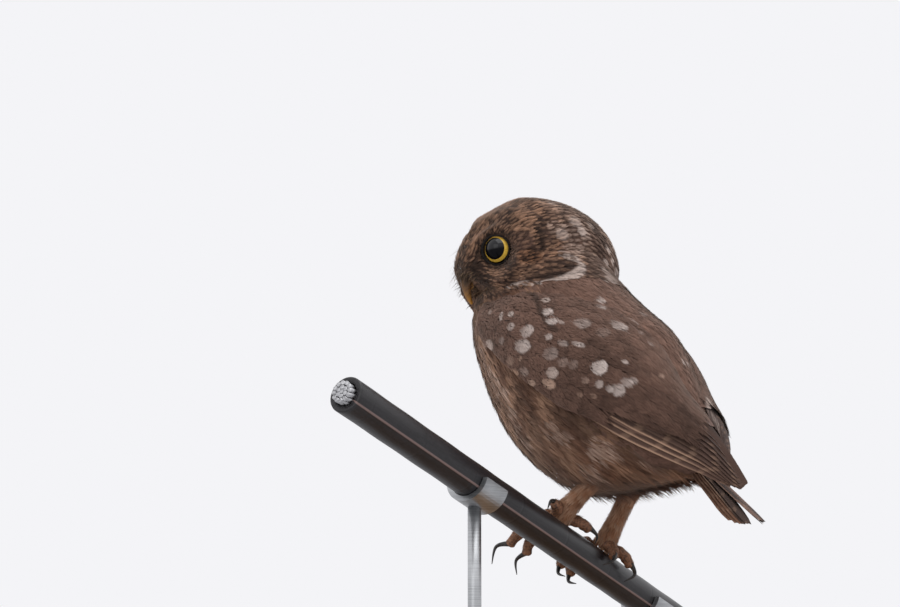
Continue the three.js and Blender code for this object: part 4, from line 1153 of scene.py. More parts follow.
class OWL_OT_head_coat(bpy.types.Operator):
    """Grow the head's coat in small streaked feathers that lie away from the bill, stand in a disc round each
    eye and end in a collar over the trunk's coat"""

    bl_idname = "owl.head_coat"
    bl_label = "Head coat"

    def execute(self, context):
        look, draw = settings(), draws(0)
        pale, buff = coat_colours("pale", "buff")
        gap = HEAD_COAT["gap"] / np.sqrt(look.density)
        a, b = roots_in_rows(head_place, 0.1, 3.12, (gap, gap), draw)
        root = head_place(a, b)
        local = to_head(root)
        off_bill = np.linalg.norm(local - [0, -35, 0], axis=1)
        off_eye = np.linalg.norm(left_side(local) - EYE_PLACE, axis=1)
        keep = (off_eye > HEAD_COAT["off_eye"]) & (off_bill > HEAD_COAT["off_bill"]) & (in_trunk(root) < 0.1)
        a, b = a[keep], b[keep]
        c, d = roots_in_rows(trunk_place, 0.2, 1.4, (gap, gap), draw)
        root = trunk_place(c, d)
        keep = (c < np.interp(wrapped(d), *COLLAR) + draw.uniform(-0.06, 0.02, len(c))) & (in_head(root) < 2)
        c, d = c[keep], d[keep]
        place = to_head(np.concatenate([head_place(a, b), trunk_place(c, d)]))
        rear = smooth(place[:, 1], -14, 14)
        clear = smooth(np.linalg.norm(left_side(place) - EYE_PLACE, axis=1), 7, 12)
        nape = np.concatenate([0 * a, 1 + 0 * c])
        count = len(place)
        frizz = draw.uniform(0, 1, count) < 0.2 * (1 - rear)
        length = (HEAD_COAT["length"] + 2.4 * rear + 1.2 * nape) * draw.uniform(0.8, 1.2, count)
        length = length * (0.5 + 0.5 * clear) * np.where(frizz, 1.3, 1)
        width = (HEAD_COAT["width"] + 0.5 * rear) * draw.uniform(0.8, 1.25, count) * np.where(frizz, 0.5, 1)
        width = width * (0.6 + 0.4 * clear)
        on_head = comb(head_place, -1.0, a, b, away_from_bill, length[:len(a)], 5)
        on_trunk = comb(trunk_place, -1.0, c, d, away_from_bill, length[len(a):], 5)
        line, normal = (np.concatenate(pair) for pair in zip(on_head, on_trunk))
        high = 0.1 + 0.2 * draw.uniform(0, 1, count) + frizz * 0.5 * draw.uniform(0, 1, count) + 0.3 * nape
        line = raised(line, normal, -look.depth * 300, high)
        frames, sizes = [], []
        for kind, first, last, gaps, *half in HEAD_FEATHERS:
            surface = {"head": head_place, "trunk": trunk_place}[kind]
            roots = roots_in_rows(surface, first, last, gaps, draw, jitter=0.25)
            frames.append(feather_frames(surface, -1.0, roots, away_from_bill))
            sizes.append(np.tile(half, (len(frames[-1]), 1)))
        frames = np.concatenate(frames)
        mine = feather_at(line[:, 3], frames)
        frame = frames[mine]
        half, half_length = (size[:, None, None] for size in np.concatenate(sizes)[mine].T)
        line = gathered(line, normal, frame, half[:, 0], 0.35, ((0.3 + 0.3 * rear) * clear)[:, None])
        ground, streak, strength = head_tone(to_head(line[:, 3]), draw)
        strength = (strength * draw.uniform(0.4, 1.15, len(frames))[mine])[:, None, None]
        plain = smooth(strength, 0.75, 0.95) * 0.7 * strength
        marked = sum(head_white(to_head(line[:, k])) for k in (1, 2, 4)) > 0

        def tint(points, coordinates):
            along, aside = off_feather(points, frame)
            aside, along = np.abs(aside) / half, np.abs(along - 0.2) / half_length
            share = strength * (1 - smooth(aside, 0.3, 0.85)) * (1 - smooth(along, 0.6, 0.95))
            share = np.clip(np.maximum(share, plain), 0, 1)
            colour = blended(ground[:, None, None], streak[:, None, None], share)
            white = np.zeros(share.shape)
            white[marked] = head_white(to_head(points[marked].reshape(-1, 3))).reshape(white[marked].shape)
            colour = blended(colour, blended(pale, buff, 0.25), white * 0.95)
            return colour * (0.72 + 0.34 * coordinates[..., 0] - 0.2 * smooth(aside, 0.6, 1.1))[..., None]

        root_map = unwrap(np.concatenate([a, 3.15 + 0.5 * c]), np.concatenate([b, d]), 0, 3.9)
        piece = coat("head_coat", line, normal, width, tint, root_map, coat_material("Head coat"), soft_tip)
        return {"FINISHED"}


def mantle_tone(point, facing, draw):
    """The back's colour: an even warm brown, faintly streaked along the lie, with a few pale spots."""
    brown, dark, pale = coat_colours("brown", "dark", "pale")
    random = draw.uniform(-1, 1, len(point))
    mottle = waves(point * [1, 0.5, 0.5], 4, 22) + 0.5 * random
    colour = blended(brown * 1.06, dark, np.clip(0.12 + 0.2 * mottle, 0, 1))
    near = left_side(point)
    for *place, radius, share in MANTLE_SPOTS:
        middle = trunk_place(*np.array(place, float)[:, None])
        off = np.linalg.norm(near - middle, axis=1) / radius + 0.1 * random
        colour = blended(colour, pale, share * (1 - smooth(off, 0.75, 1.1)))
    return colour * (1 + 0.12 * random[:, None])


def belly_tone(point, facing, draw):
    """The underside's colour: dark brown under the wings, in soft buff blotches drawn out along the lie, with
    the marks of BELLY_MARKS_AND_SHADOWS, whose dark ones are painted shadow along the wing's lower edge,
    buffer at the breast's front and rufous and grey towards the vent, and painted light on the flank that
    faces (0.57, -0.82, 0)."""
    brown, dark, buff, pale, rufous = coat_colours("brown", "dark", "buff", "pale", "rufous")
    random = draw.uniform(-1, 1, len(point))
    low = smooth(-point[:, 2], -45, -15)
    front = smooth(-facing[:, 1], 0.1, 0.8)
    mottle = waves(point * [1, 0.6, 0.6], 10, 21) + 0.5 * waves(point, 5, 23) + 0.2 * random
    share = np.clip(0.13 + 0.34 * mottle + 0.32 * front + 0.1 * low, 0, 1)
    colour = blended(blended(dark, brown, 0.1), buff, share)
    colour = blended(colour, rufous * 0.9, 0.15 * low + 0.2)
    ragged = left_side(point) + 2 * np.stack([waves(point, 4, seed) for seed in (31, 32, 33)], -1)
    for path, reach, strength, light in BELLY_MARKS_AND_SHADOWS:
        here = near_path(ragged, trunk_place(*np.array(path, float).T), 1.4 * reach) * strength
        # Pale entries are marks of the plumage; dark entries are painted shadow under the wing's edge
        pale_mark_and_shadow = blended(buff, pale, 0.4) if light else dark * 0.75
        colour = blended(colour, pale_mark_and_shadow, np.clip(1.3 * here * (1 + 0.3 * random), 0, 1))
    # Painted light: where the flank faces (0.57, -0.82, 0) its colour is made up to 30% lighter
    light = 0.3 * smooth(facing @ np.array([0.57, -0.82, 0]), 0.7, 1)
    return colour * (1 + light + 0.08 * random)[:, None]


class OWL_OT_trunk_coat(bpy.types.Operator):
    """Grow the mantle's velvety coat, and the downy one of breast, flanks and belly, ragged at its lower
    edge"""

    bl_idname = "owl.trunk_coat"
    bl_label = "Trunk coat"

    def execute(self, context):
        look, draw = settings(), draws(1)
        for name, (slot, low_angle, high_angle, gap, long, wide, gaps, share, rise) in TRUNK_COATS.items():
            gap = gap / np.sqrt(look.density)
            a, b = roots_in_rows(trunk_place, 0.6, 9.85, (gap, gap), draw, low_angle, high_angle)
            root, _, _, facing = slopes(trunk_place, a, b, -1.0)
            keep = (in_head(root) < 3) & (a > np.interp(wrapped(b), *COLLAR) - 0.12)
            a, b, facing = a[keep], b[keep], facing[keep]
            count = len(a)
            low = smooth(a, 5.0, 7.5) * smooth(-facing[:, 2], -0.25, 0.45) * (slot == "pale_plumage")
            vent = smooth(a, 7.6, 9.2)
            length = (long + 2.5 * low * (1 - vent) - 0.3 * long * vent) * draw.uniform(0.75, 1.25, count)
            width = wide * (1 - 0.25 * low) * draw.uniform(0.7, 1.3, count)
            line, normal = comb(trunk_place, -1.0, a, b, downwards, length, 5)
            wisp = low * (1 - vent) * draw.uniform(0, 1, count) ** 2.5
            high = 0.2 + 0.35 * draw.uniform(0, 1, count) ** 2 - 0.5 * vent * low
            line = raised(line, normal, -look.depth * 220, high)
            roots = roots_in_rows(trunk_place, 0.4, 9.9, gaps, draw, low_angle, high_angle, 0.3)
            frames = feather_frames(trunk_place, -1.0, roots, downwards)
            mine = feather_at(line[:, 3], frames)
            line = gathered(line, normal, frames[mine], gaps[1] / 2, share, rise)
            u = np.linspace(0, 1, 5)[None, :, None]
            line = line + normal * 3.4 * wisp[:, None, None] * u
            line = line + u * u * (0.6 * low * (1 - vent) + 2.4 * wisp)[:, None, None] * [0, 0.1, -1.0]
            paint = mantle_tone if name == "mantle_coat" else belly_tone
            colour = paint(line[:, 2], facing, draw)
            colour = colour * (1 + 0.1 * draw.uniform(-1, 1, len(frames)))[mine][:, None]

            def tint(points, coordinates, colour=colour):
                return colour[:, None, None] * (0.84 + 0.24 * coordinates[..., :1])

            material = coat_material(name.replace("_", " ").capitalize())
            piece = coat(name, line, normal, width, tint, unwrap(a, b, 0, 10), material)
        return {"FINISHED"}


# Feather tiers of a wing: how many, where the first and the last one's root and tip lie as shares of the
# wing's length and height, how much further each reaches, its width, height over the wing and tilt in
# millimetres, and how far it is darker than brown
TIERS = {
    "primaries": (10, (0.34, 0.93), (0.34, 0.57), (0.93, 0.92), (0.93, 0.23),
                  (0, 0.05, 0.07, 0.055, 0.03, 0, -0.03), 10.5, -2.2, 0.5, 0.8),
    "primary_coverts": (7, (0.22, 0.93), (0.25, 0.62), (0.5, 0.93), (0.56, 0.64),
                        (0, 0.01, 0), 8.5, -1.8, 0.4, 0.75),
    "secondaries": (10, (0.3, 0.84), (0.3, 0.24), (0.67, 0.83), (0.706, 0.17), (0, 0), 11, -2.1, 0.3, 0.55),
    "tertials": (3, (0.34, 0.27), (0.32, 0.1), (0.75, 0.24), (0.8, 0.1), (0, 0), 13, -1.5, 0.3, 0.4),
    "greater_coverts": (10, (0.15, 0.86), (0.15, 0.2), (0.43, 0.92), (0.478, 0.17),
                        (0, 0), 11.5, -1.3, 0.3, 0.42),
    "lesser_coverts": (11, (-0.03, 0.88), (-0.03, 0.16), (0.25, 0.9), (0.27, 0.14),
                       (0, 0), 9, -1.1, 0.2, 0.25),
    "scapulars": (9, (0.12, 0.34), (0.18, 0.05), (0.47, 0.36), (0.62, 0.04), (0, 0), 13, -0.9, 0.2, 0.2),
}

# The points of a large feather's grid along and across
VANE_ROWS = 12
VANE_COLUMNS = 7

# The velvety coat over a wing's feathers: its spacing and sizes, and those of the feathers that it is
# gathered into
VELVET = {"gap": 0.68, "length": 3.3, "width": 0.75, "feathers": (8.5, 6.5), "gather": 0.25, "rise": 0.35}

# The fold between mantle and coverts, where the coat is darkened as painted shade in its crease, as shares of
# the wing's length and height
FOLD_SHADE_LINE = ((0.06, 0.12), (0.14, 0.26), (0.17, 0.29), (0.2, 0.35), (0.22, 0.43), (0.25, 0.51), (0.28, 0.54))


def wing_vanes(side, tier, draw):
    """The lines, normals, widths and tilts of one tier of a wing's feathers, whose s goes evenly from root to
    tip and whose t goes by 3u²-2u³."""
    count, root, root_last, tip, tip_last, reach, width, lift, tilt, _ = tier
    share = np.linspace(0, 1, count)[:, None]
    root, tip = (first + (np.array(last) - first) * share
                 for first, last in ((root, root_last), (tip, tip_last)))
    further = np.interp(share[:, 0], np.linspace(0, 1, len(reach)), reach)
    tip[:, 0] += further + draw.uniform(-0.006, 0.006, count)
    tip[:, 1] += draw.uniform(-0.012, 0.012, count)
    u = np.linspace(0, 1, VANE_ROWS)
    s = np.minimum(root[:, :1] + (tip[:, :1] - root[:, :1]) * u, 1.0)
    t = np.clip(root[:, 1:] + (tip[:, 1:] - root[:, 1:]) * u * u * (3 - 2 * u), 0.05, 0.95)
    point, _, _, normal = slopes(wing_side(side), s, t, -side)
    rise = lift - 3.0 * np.maximum(0, 1 - u / 0.25)[None] + 0.25 * share
    width = width + draw.uniform(-0.4, 0.4, count)
    return point + normal * rise[..., None], normal, width, np.full(count, tilt / 2)


def barb_map(line, width, coordinates, draw):
    """Places in centimetres along and across each feather, shifted at random so that no two have the same
    barbs."""
    reach = np.linalg.norm(np.diff(line, axis=1), axis=2).sum(1) / 10
    return np.stack([
        coordinates[..., 0] * reach[:, None, None] + 3.0 * draw.uniform(0, 9, (len(line), 1, 1)),
        coordinates[..., 1] * (width / 20)[:, None, None],
    ], -1)


# The pale wavy line on the right wing's tip, as (s, t)
TIP_LINE = ((0.75, 0.2), (0.79, 0.15), (0.81, 0.23), (0.84, 0.16), (0.87, 0.23), (0.9, 0.2))


def spotted(side, points, colour, blur):
    """A wing's colours with its pale spots laid in: each an ellipse along the wing's own two directions,
    streaked and fading towards its root, crisp at its tip with a dark rim beyond that is painted shadow of
    the feather's edge, its edge frayed by the blur. The right wing's tip has a pale wavy line as well."""
    dark, buff, pale, rufous = coat_colours("dark", "buff", "pale", "rufous")
    for s, t, long, wide, strength, warmth in WING_SPOTS:
        centre, along, across, normal = slopes(wing_side(side), np.array([s]), np.array([t]), -side)
        off = points - centre
        ahead, beside = off @ unit(along)[0] / long, off @ unit(across)[0] / wide
        near = np.abs(off @ normal[0]) < 7
        narrow = 1 + 0.22 * smooth(-ahead, -0.2, 1)
        reach = np.hypot(ahead, beside * narrow) + blur * (1 + 1.6 * smooth(-ahead, -0.4, 0.6))
        # The dark rim beyond each spot's tip is painted shadow of the spotted feather's edge
        rim = (smooth(reach, 0.95, 1.05) - smooth(reach, 1.15, 1.5)) * smooth(ahead, -0.1, 0.5) * near
        here = (1 - smooth(reach, 0.9, 1.04)) * near * (0.62 + 0.38 * smooth(ahead, -0.7, 0.3))
        colour = blended(colour, dark * 0.7, 0.45 * min(strength + 0.2, 1) * rim)
        spot = blended(pale, blended(buff, rufous, 0.2) * 1.15, warmth)
        colour = blended(colour, spot, min(1.25 * strength, 1) * here)
    if side < 0:
        here = near_path(points.reshape(-1, 3), wing_place(side, *np.array(TIP_LINE).T), 2.4)
        colour = blended(colour, blended(pale, buff, 0.3), here.reshape(points.shape[:-1]) * 0.9)
    return colour


def wing_lie(points, normals):
    """The lie of a wing's coat: towards its tip, a little downwards."""
    return np.broadcast_to(np.array([0, 0.86, -0.6]), points.shape)


def velvet(name, side, look, draw, material):
    """The short velvety coat over all but a wing's primaries, gathered into feathers with faint dark rims and
    longer towards the tip."""
    brown, dark = coat_colours("brown", "dark")
    surface = wing_side(side)
    gap = VELVET["gap"] / np.sqrt(look.density)
    s, t = roots_in_rows(surface, -0.02, 0.76, (gap, gap), draw, 0.03, 0.97)
    end = 0.47 + 0.26 * (1 - smooth(t, 0.72, 0.9)) + 0.02 * draw.uniform(-1, 1, len(s))
    keep = s < end + 0.03 * np.abs(np.sin(9 * np.pi * t))
    s, t = s[keep], t[keep]
    count = len(s)
    far = smooth(s, 0.38, 0.55)
    length = (VELVET["length"] + 2 * far) * draw.uniform(0.7, 1.3, count)
    line, normal = comb(surface, -side, s, t, wing_lie, length, 5)
    line = raised(line, normal, -0.6, 0.2 + 0.25 * draw.uniform(0, 1, count) ** 2)
    roots = roots_in_rows(surface, -0.05, 0.82, VELVET["feathers"], draw, 0.0, 1.0, 0.2)
    frames = feather_frames(surface, -side, roots, wing_lie)
    mine = feather_at(line[:, 3], frames)
    frame, half = frames[mine], VELVET["feathers"][1] / 2
    line = gathered(line, normal, frame, half, VELVET["gather"], VELVET["rise"] * (1 - far[:, None]))
    shade = 0.12 + 0.5 * smooth(s, 0.2, 0.42) * smooth(t, 0.2, 0.5)
    shade = shade + 0.15 * draw.uniform(-1, 1, len(frames))[mine] + 0.1 * waves(line[:, 3], 9, 41)
    shade = shade + 0.16 * draw.uniform(-1, 1, count) + 0.25 * smooth(s, 0.5, 0.72)
    # Painted shade: the coat is darkened by up to 55% along the fold's crease
    fold_shade = near_path(line[:, 3], surface(*np.array(FOLD_SHADE_LINE).T), 2.0)[:, None]
    colour = blended(brown, dark, np.clip(shade, 0, 1)) * (1 - 0.55 * fold_shade)
    blur = 0.07 * draw.uniform(-1, 1, (count, 1, 1))

    def tint(points, coordinates):
        along, aside = off_feather(points, frame)
        rim = smooth(np.abs(aside) / half, 0.6, 1.05) + smooth(along / VELVET["feathers"][0], 0.35, 0.55)
        tone = colour[:, None, None] * (0.88 + 0.2 * coordinates[..., 0] - 0.16 * rim)[..., None]
        return spotted(side, points, tone, blur)

    width = VELVET["width"] * draw.uniform(0.7, 1.3, count)
    root_map = unwrap(s, 2 * np.pi * t, -0.02, 0.78)
    piece = coat(f"coverts_of_{name}_wing", line, normal, width, tint, root_map, material)


class OWL_OT_wings(bpy.types.Operator):
    """Lay each wing's flight feathers, coverts and scapulars in overlapping tiers, and the velvety coat over
    them"""

    bl_idname = "owl.wings"
    bl_label = "Wings"

    def execute(self, context):
        brown, dark = coat_colours("brown", "dark")
        vanes, down = vane_material("Wing feathers"), coat_material("Wing coverts")
        for name, side in SIDES.items():
            draw = draws(2)
            made = []
            for rank, tier in enumerate(TIERS.values()):
                line, normal, width, tilt = wing_vanes(side, tier, draw)
                points, coordinates = vane_mesh(
                    line, normal, -side * width, round_tip, VANE_COLUMNS, 0.05, 0.1, tilt, 0.03, draw)
                barbs = barb_map(line, width, coordinates, draw)
                made.append((points, normal, coordinates, barbs, np.full(len(line), rank)))
            points, normal, coordinates, barbs, ranks = (np.concatenate(parts) for parts in zip(*made))
            count = len(points)
            shade = np.array([tier[-1] for tier in TIERS.values()])[ranks] + 0.12 * draw.uniform(-1, 1, count)
            ground = blended(brown, dark, shade) * (1 + 0.06 * draw.uniform(-1, 1, (count, 1)))
            ground[:10] *= np.linspace(1, 0.55, 10)[:, None]
            colour = ground[:, None, None] * (0.8 + 0.25 * coordinates[..., :1])
            colour = spotted(side, points, colour, 0.0)
            bars = np.stack([np.full(count, 7), 0.22 * (ranks < 2), np.ones(count),
                             np.where(np.arange(count) < 3, 0.9, 0.08)], -1)
            maps = {"OFBake": cell_map(coordinates), "Vane": coordinates, "Barbs": barbs}
            colours = {"tint": tinted(colour), "bars": spread_out(bars, coordinates)}
            piece = new_piece(
                f"feathers_of_{name}_wing", points, feather_faces(points, normal), vanes, maps, colours)
            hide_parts(f"wing_{name}")
            velvet(name, side, settings(), draw, down)
        return {"FINISHED"}


class OWL_OT_tail(bpy.types.Operator):
    """Lay the twelve tail feathers, parted on the left"""

    bl_idname = "owl.tail"
    bl_label = "Tail"

    def execute(self, context):
        brown, dark, rufous = coat_colours("brown", "dark", "rufous")
        draw = draws(3)
        u = np.linspace(0, 1, VANE_ROWS)
        root, tip = np.array(TAIL["root"], float), np.array(TAIL["tip"], float)
        out = unit(np.cross(unit(tip - root), -LEFT))
        out = out * np.sign(out[2])
        lines, normals, edges = [], [], []
        for k in range(TAIL["pairs"] * 2):
            side, rank = (1 if k % 2 else -1), k // 2 + 0.5
            spread = side * rank / TAIL["pairs"]
            apart = side > 0 and rank > TAIL_FAN["split_from"]
            shift, drop = (TAIL_FAN["split"], TAIL_FAN["split_drop"]) if apart else (-TAIL_FAN["back"], 0)
            shorter = TAIL_VANE["shorter_left" if side > 0 else "shorter_right"]
            length = 1.04 - shorter * spread**2 + draw.uniform(-0.012, 0.012)
            line = root + (tip - root) * (u * length)[:, None]
            half = TAIL["root_width"] + (TAIL["tip_width"] - TAIL["root_width"]) * u
            line[:, 0] = spread * half + shift * u * u
            sunk = TAIL_FAN["arch"] * spread**2 + TAIL_FAN["stack"] * rank + drop * u * u
            lines.append(line - out * sunk[:, None])
            normals.append(np.broadcast_to(unit(out + spread * TAIL_VANE["lean"] * LEFT), line.shape))
            edges.append(-side)
        line, normal = np.stack(lines), np.stack(normals)
        count = len(line)
        number = np.arange(count)
        width = TAIL_VANE["width"] + draw.uniform(-0.3, 0.3, count)
        points, coordinates = vane_mesh(
            line, normal, width, round_tip, VANE_COLUMNS, cup=0.1, sweep=0.08, ragged=0.04, draw=draw)
        barbs = barb_map(line, width, coordinates, draw)
        # The outer feathers are rufous, the second is brown and the sixth has a pale edge
        colour = np.where(number[:, None] >= 7, blended(dark, rufous, 0.3), dark * 0.75)
        colour[1] = brown * 0.9
        colour = colour * (1 + 0.1 * draw.uniform(-1, 1, (count, 1)))
        pale = 0.25 + 0.75 * (number == 5)
        bars = np.stack([np.full(count, 5), np.full(count, 0.22), np.array(edges), pale], -1)
        maps = {"OFBake": cell_map(coordinates), "Vane": coordinates, "Barbs": barbs}
        colours = {"tint": tinted(spread_out(colour, coordinates)), "bars": spread_out(bars, coordinates)}
        material = vane_material("Tail feathers")
        piece = new_piece("tail_feathers", points, feather_faces(points, normal), material, maps, colours)
        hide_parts("tail")
        return {"FINISHED"}


class OWL_OT_legs(bpy.types.Operator):
    """Grow the short coat of both legs, down to the toes"""

    bl_idname = "owl.legs"
    bl_label = "Leg coats"

    def execute(self, context):
        draw = draws(4)
        buff, rufous, dark = coat_colours("buff", "rufous", "dark")
        for name, foot in FEET.items():
            hock, ankle = np.array(foot["hock"], float), by_cable(foot["ankle"])
            axis = ankle - hock
            first = unit(np.cross(axis, LEFT))
            second = unit(np.cross(axis, first))

            def place(share, turn):
                ring = around(turn, first, second) * shin_radius(share)[..., None]
                return hock + axis * share[..., None] + ring

            sign = np.sign(dot(slopes(place, np.array([0.5]), np.array([0.0]), 1.0)[3][0], first))
            gap = LEG_COAT["gap"] / np.sqrt(settings().density)
            a, b = roots_in_rows(place, 0.0, 1.05, (gap, gap), draw)
            count = len(a)
            length = LEG_COAT["length"] * draw.uniform(0.75, 1.25, count)
            width = LEG_COAT["width"] * draw.uniform(0.7, 1.3, count)
            down = unit(axis)
            line, normal = comb(
                place, sign, a, b, lambda points, normals: np.broadcast_to(down, points.shape), length, 4)
            line = raised(line, normal, -1.0, 0.25 + 0.7 * draw.uniform(0, 1, count) ** 2)
            random = draw.uniform(-1, 1, count)
            mottle = waves(line[:, 0], 4, 31) + 0.5 * random
            colour = blended(buff, rufous, np.clip(0.5 + 0.35 * mottle, 0, 1))
            colour = blended(colour, dark, np.clip(0.12 + 0.2 * mottle, 0, 0.6))
            colour = colour * (1 + 0.12 * random[:, None])

            def tint(points, coordinates, colour=colour):
                return colour[:, None, None] * (0.65 + 0.45 * coordinates[..., :1])

            material = coat_material(f"Coat of the {name} leg")
            piece = coat(f"{name}_leg_coat", line, normal, width, tint, unwrap(a, b, 0, 1.1), material)
        return {"FINISHED"}


def toe_girth(share, turn):
    """A toe's radius: it tapers, with a pad under each joint as three soft swellings."""
    pads = 0.14 * np.sin(share * np.pi * 3.1 + 0.6) ** 2
    return TOE["radius"] * (1 - TOE["taper"] * share) * (0.9 + pads + 0.03 * np.sin(5 * turn + 9 * share))


def claw_girth(share, turn):
    return CLAW["radius"] * (1 - CLAW["taper"] * share ** CLAW["power"]) * (1 - 0.1 * np.cos(turn) ** 2)


class OWL_OT_feet(bpy.types.Operator):
    """Make the toes with their pads and bristles, and the claws"""

    bl_idname = "owl.feet"
    bl_label = "Toes and claws"

    def execute(self, context):
        look, draw = settings(), draws(5)
        rufous, dark, buff = coat_colours("rufous", "dark", "buff")
        hide = Shading("Toes", Roughness=0.65, Specular_IOR_Level=0.4)
        place = hide.place()
        scales = hide.node(
            "ShaderNodeTexVoronoi", {"feature": "F1"}, {"Vector": place, "Scale": 1100.0}, "Distance")
        mottle = hide.noise(place, 300.0, 4.0, 0.6)
        patches = (mottle * 0.7 + scales * 0.5).band(0.3, 0.8)
        hide.set(Base_Color=hide.mix(dark * 0.8, blended(rufous, dark, 0.35), patches))
        hide.bump(scales * 0.6 + mottle * 0.4, 0.6, 0.0004)
        horn = Shading("Claws", Roughness=0.32, Specular_IOR_Level=0.5)
        grain = horn.noise(horn.place(), 500.0, 4.0, 0.6)
        horn.set(Base_Color=horn.mix((0.012, 0.010, 0.009), (0.05, 0.04, 0.034), grain.band(0.4, 0.75)))
        horn.bump(grain, 0.25, 0.0002)
        for name, foot in FEET.items():
            toes, claws, lines, normals = [], [], [], []
            for digit, nail in foot["toes"]:
                path = even_path(by_cable(digit), 26)
                grid = tube_grid(path, toe_girth, 20)
                toes.append(domed(grid, path))
                bare = even_path(by_cable(nail), 24)
                claws.append(domed(tube_grid(bare, claw_girth, 14), bare, 0.5))
                count = int(BRISTLES["toe"] * look.density)
                row, column = draw.integers(0, len(path) - 3, count), draw.integers(0, 20, count)
                start = grid[row, column]
                outward, along = unit(start - path[row]), unit(path[row + 2] - path[row])
                up = outward[:, 2] > -0.35
                start, outward, along = (rows[up, None] for rows in (start, outward, along))
                u = np.linspace(0, 1, 3)[None, :, None]
                reach = draw.uniform(1.2, 2.4, (len(start), 1, 1))
                lines.append(start + along * reach * u + outward * (0.6 * u - 0.15))
                normals.append(np.repeat(outward, 3, 1))
            piece = grids_piece(f"{name}_toes", toes, hide.material)
            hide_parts(*[f"toe_{name}_{i + 1}" for i in range(4)])
            piece = grids_piece(f"{name}_claws", claws, horn.material)
            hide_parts(*[f"claw_{name}_{i + 1}" for i in range(4)])
            line, normal = np.concatenate(lines), np.concatenate(normals)
            random = draw.uniform(0, 1, (len(line), 1))
            colour = blended(rufous * 0.8, buff, 0.5 * random[:, 0]) * (0.7 + 0.4 * random)

            def tint(points, coordinates, colour=colour):
                return np.broadcast_to(colour[:, None, None], points.shape)

            width = draw.uniform(0.3, 0.6, len(line))
            cell, square = cells(len(line))
            material = coat_material(f"Bristles of the {name} toes")
            piece = coat(f"{name}_toe_bristles", line, normal, width, tint, cell / square + 0.01, material)
        return {"FINISHED"}


def eye_frame(side):
    """An eye's middle, its look, and two directions across it (up and aside), in the owl's frame."""
    flip = np.array([side, 1, 1])
    look = EYE_LOOK * flip
    sunk = np.sqrt(EYE["radius"] ** 2 - EYE["opening"] ** 2)
    middle = from_head(EYE_PLACE * flip - look * sunk)
    look, up = HEAD_TURN @ look, HEAD_TURN @ UP
    up = unit(up - dot(up, look) * look)
    return middle, look, up, np.cross(up, look)


class OWL_OT_eyes(bpy.types.Operator):
    """Make the eyeballs with iris and pupil, and the dark lids round them"""

    bl_idname = "owl.eyes"
    bl_label = "Eyes"

    def execute(self, context):
        eyes = context.scene.owl_eyes
        ball = Shading("Eye", Roughness=0.5, Specular_IOR_Level=0.0, Coat_Roughness=0.03, Coat_IOR=1.45)
        x, y = ball.map("Gaze")
        out = (x * x + y * y).root()
        fibres = ball.drawn(x / (out + 0.01) * 14.0, y / (out + 0.01) * 14.0, out * 3.0)
        iris = np.array(eyes.iris)
        yellow = ball.mix(iris * 0.74, iris * 1.1, fibres.band(0.3, 0.7))
        # The iris browns towards its edge: thinly at the sides as a real darker rim, and broadly at the top
        # as painted shade of the upper lid
        yellow = ball.mix(yellow, iris * [0.45, 0.3, 0.16], (out + y * 0.22).band(1.0, 1.26) * 0.85)
        yellow = ball.mix(yellow, (0.006, 0.005, 0.004), out.band(1.09, 1.13))
        pupil = out.band(eyes.pupil + 0.02, eyes.pupil - 0.02)
        ball.set(Base_Color=ball.mix(yellow, (0.003, 0.003, 0.004), pupil))
        # The coat is weaker on the lower half, so that it shines less than the upper: painted shade over the
        # reflection, standing for the dark feathers under the eye
        ball.set(Coat_Weight=0.25 + 0.75 * y.band(-0.15, 0.1))
        rim = Shading("Lids", Roughness=0.6, Specular_IOR_Level=0.15)
        wrinkle = rim.noise(rim.place(), 900.0, 3.0, 0.6)
        rim.set(Base_Color=rim.mix((0.004, 0.0035, 0.0035), (0.016, 0.012, 0.011), wrinkle.band(0.35, 0.7)))
        rim.bump(wrinkle, 0.5, 0.0003)
        for name, side in SIDES.items():
            middle, look, up, aside = eye_frame(side)
            polar, turn = crossed(np.linspace(0, np.pi, 40), np.linspace(0, 2 * np.pi, 65))
            bulge = 0.5 * (1 - smooth(polar, 0.2, 0.95))
            way = around(polar, look, around(turn, up, aside))
            points = middle + way * (EYE["radius"] - 0.25 + bulge)[..., None]
            reach = np.sin(np.minimum(polar, np.pi / 2)) * EYE["radius"] / EYE["opening"]
            gaze = np.stack([reach * np.sin(turn) + side * eyes.aside, reach * np.cos(turn) - eyes.lift], -1)
            piece = grids_piece(f"{name}_eyeball", [points], ball.material, {"Gaze": gaze})
            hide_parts(f"eye_{name}")
            turn, over = crossed(np.linspace(0, 2 * np.pi, 97), np.linspace(0, 2 * np.pi, 17))
            thick = LID["thickness"] * (1 + LID["front"] * np.maximum(0, -side * np.sin(turn)))
            opening = LID["inner"] - LID["brow"] * np.maximum(0, np.cos(turn)) ** 2
            opening = opening + LID["corner"] * np.maximum(0, -np.cos(turn + 0.15 * side)) ** 16
            reach = opening + thick + thick * np.cos(over)
            depth = np.sqrt(EYE["radius"] ** 2 - EYE["opening"] ** 2) + 0.2 + 0.85 * thick * np.sin(over)
            points = middle + around(turn, up, aside) * reach[..., None] + look * depth[..., None]
            piece = grids_piece(f"{name}_lids", [points], rim.material)
        return {"FINISHED"}


def bill_spine(bend, under):
    """A bill half's middle line: front + under·sin(lean) - reach·sin(bend), up - under·cos(lean) - drop·(1 -
    cos(bend))."""
    back, down = under * np.sin(LOWER_BILL["lean"]), under * np.cos(LOWER_BILL["lean"])
    return np.stack([
        0 * bend, BILL["front"] + back - BILL["reach"] * np.sin(bend),
        BILL["up"] - down - BILL["drop"] * (1 - np.cos(bend)),
    ], -1)


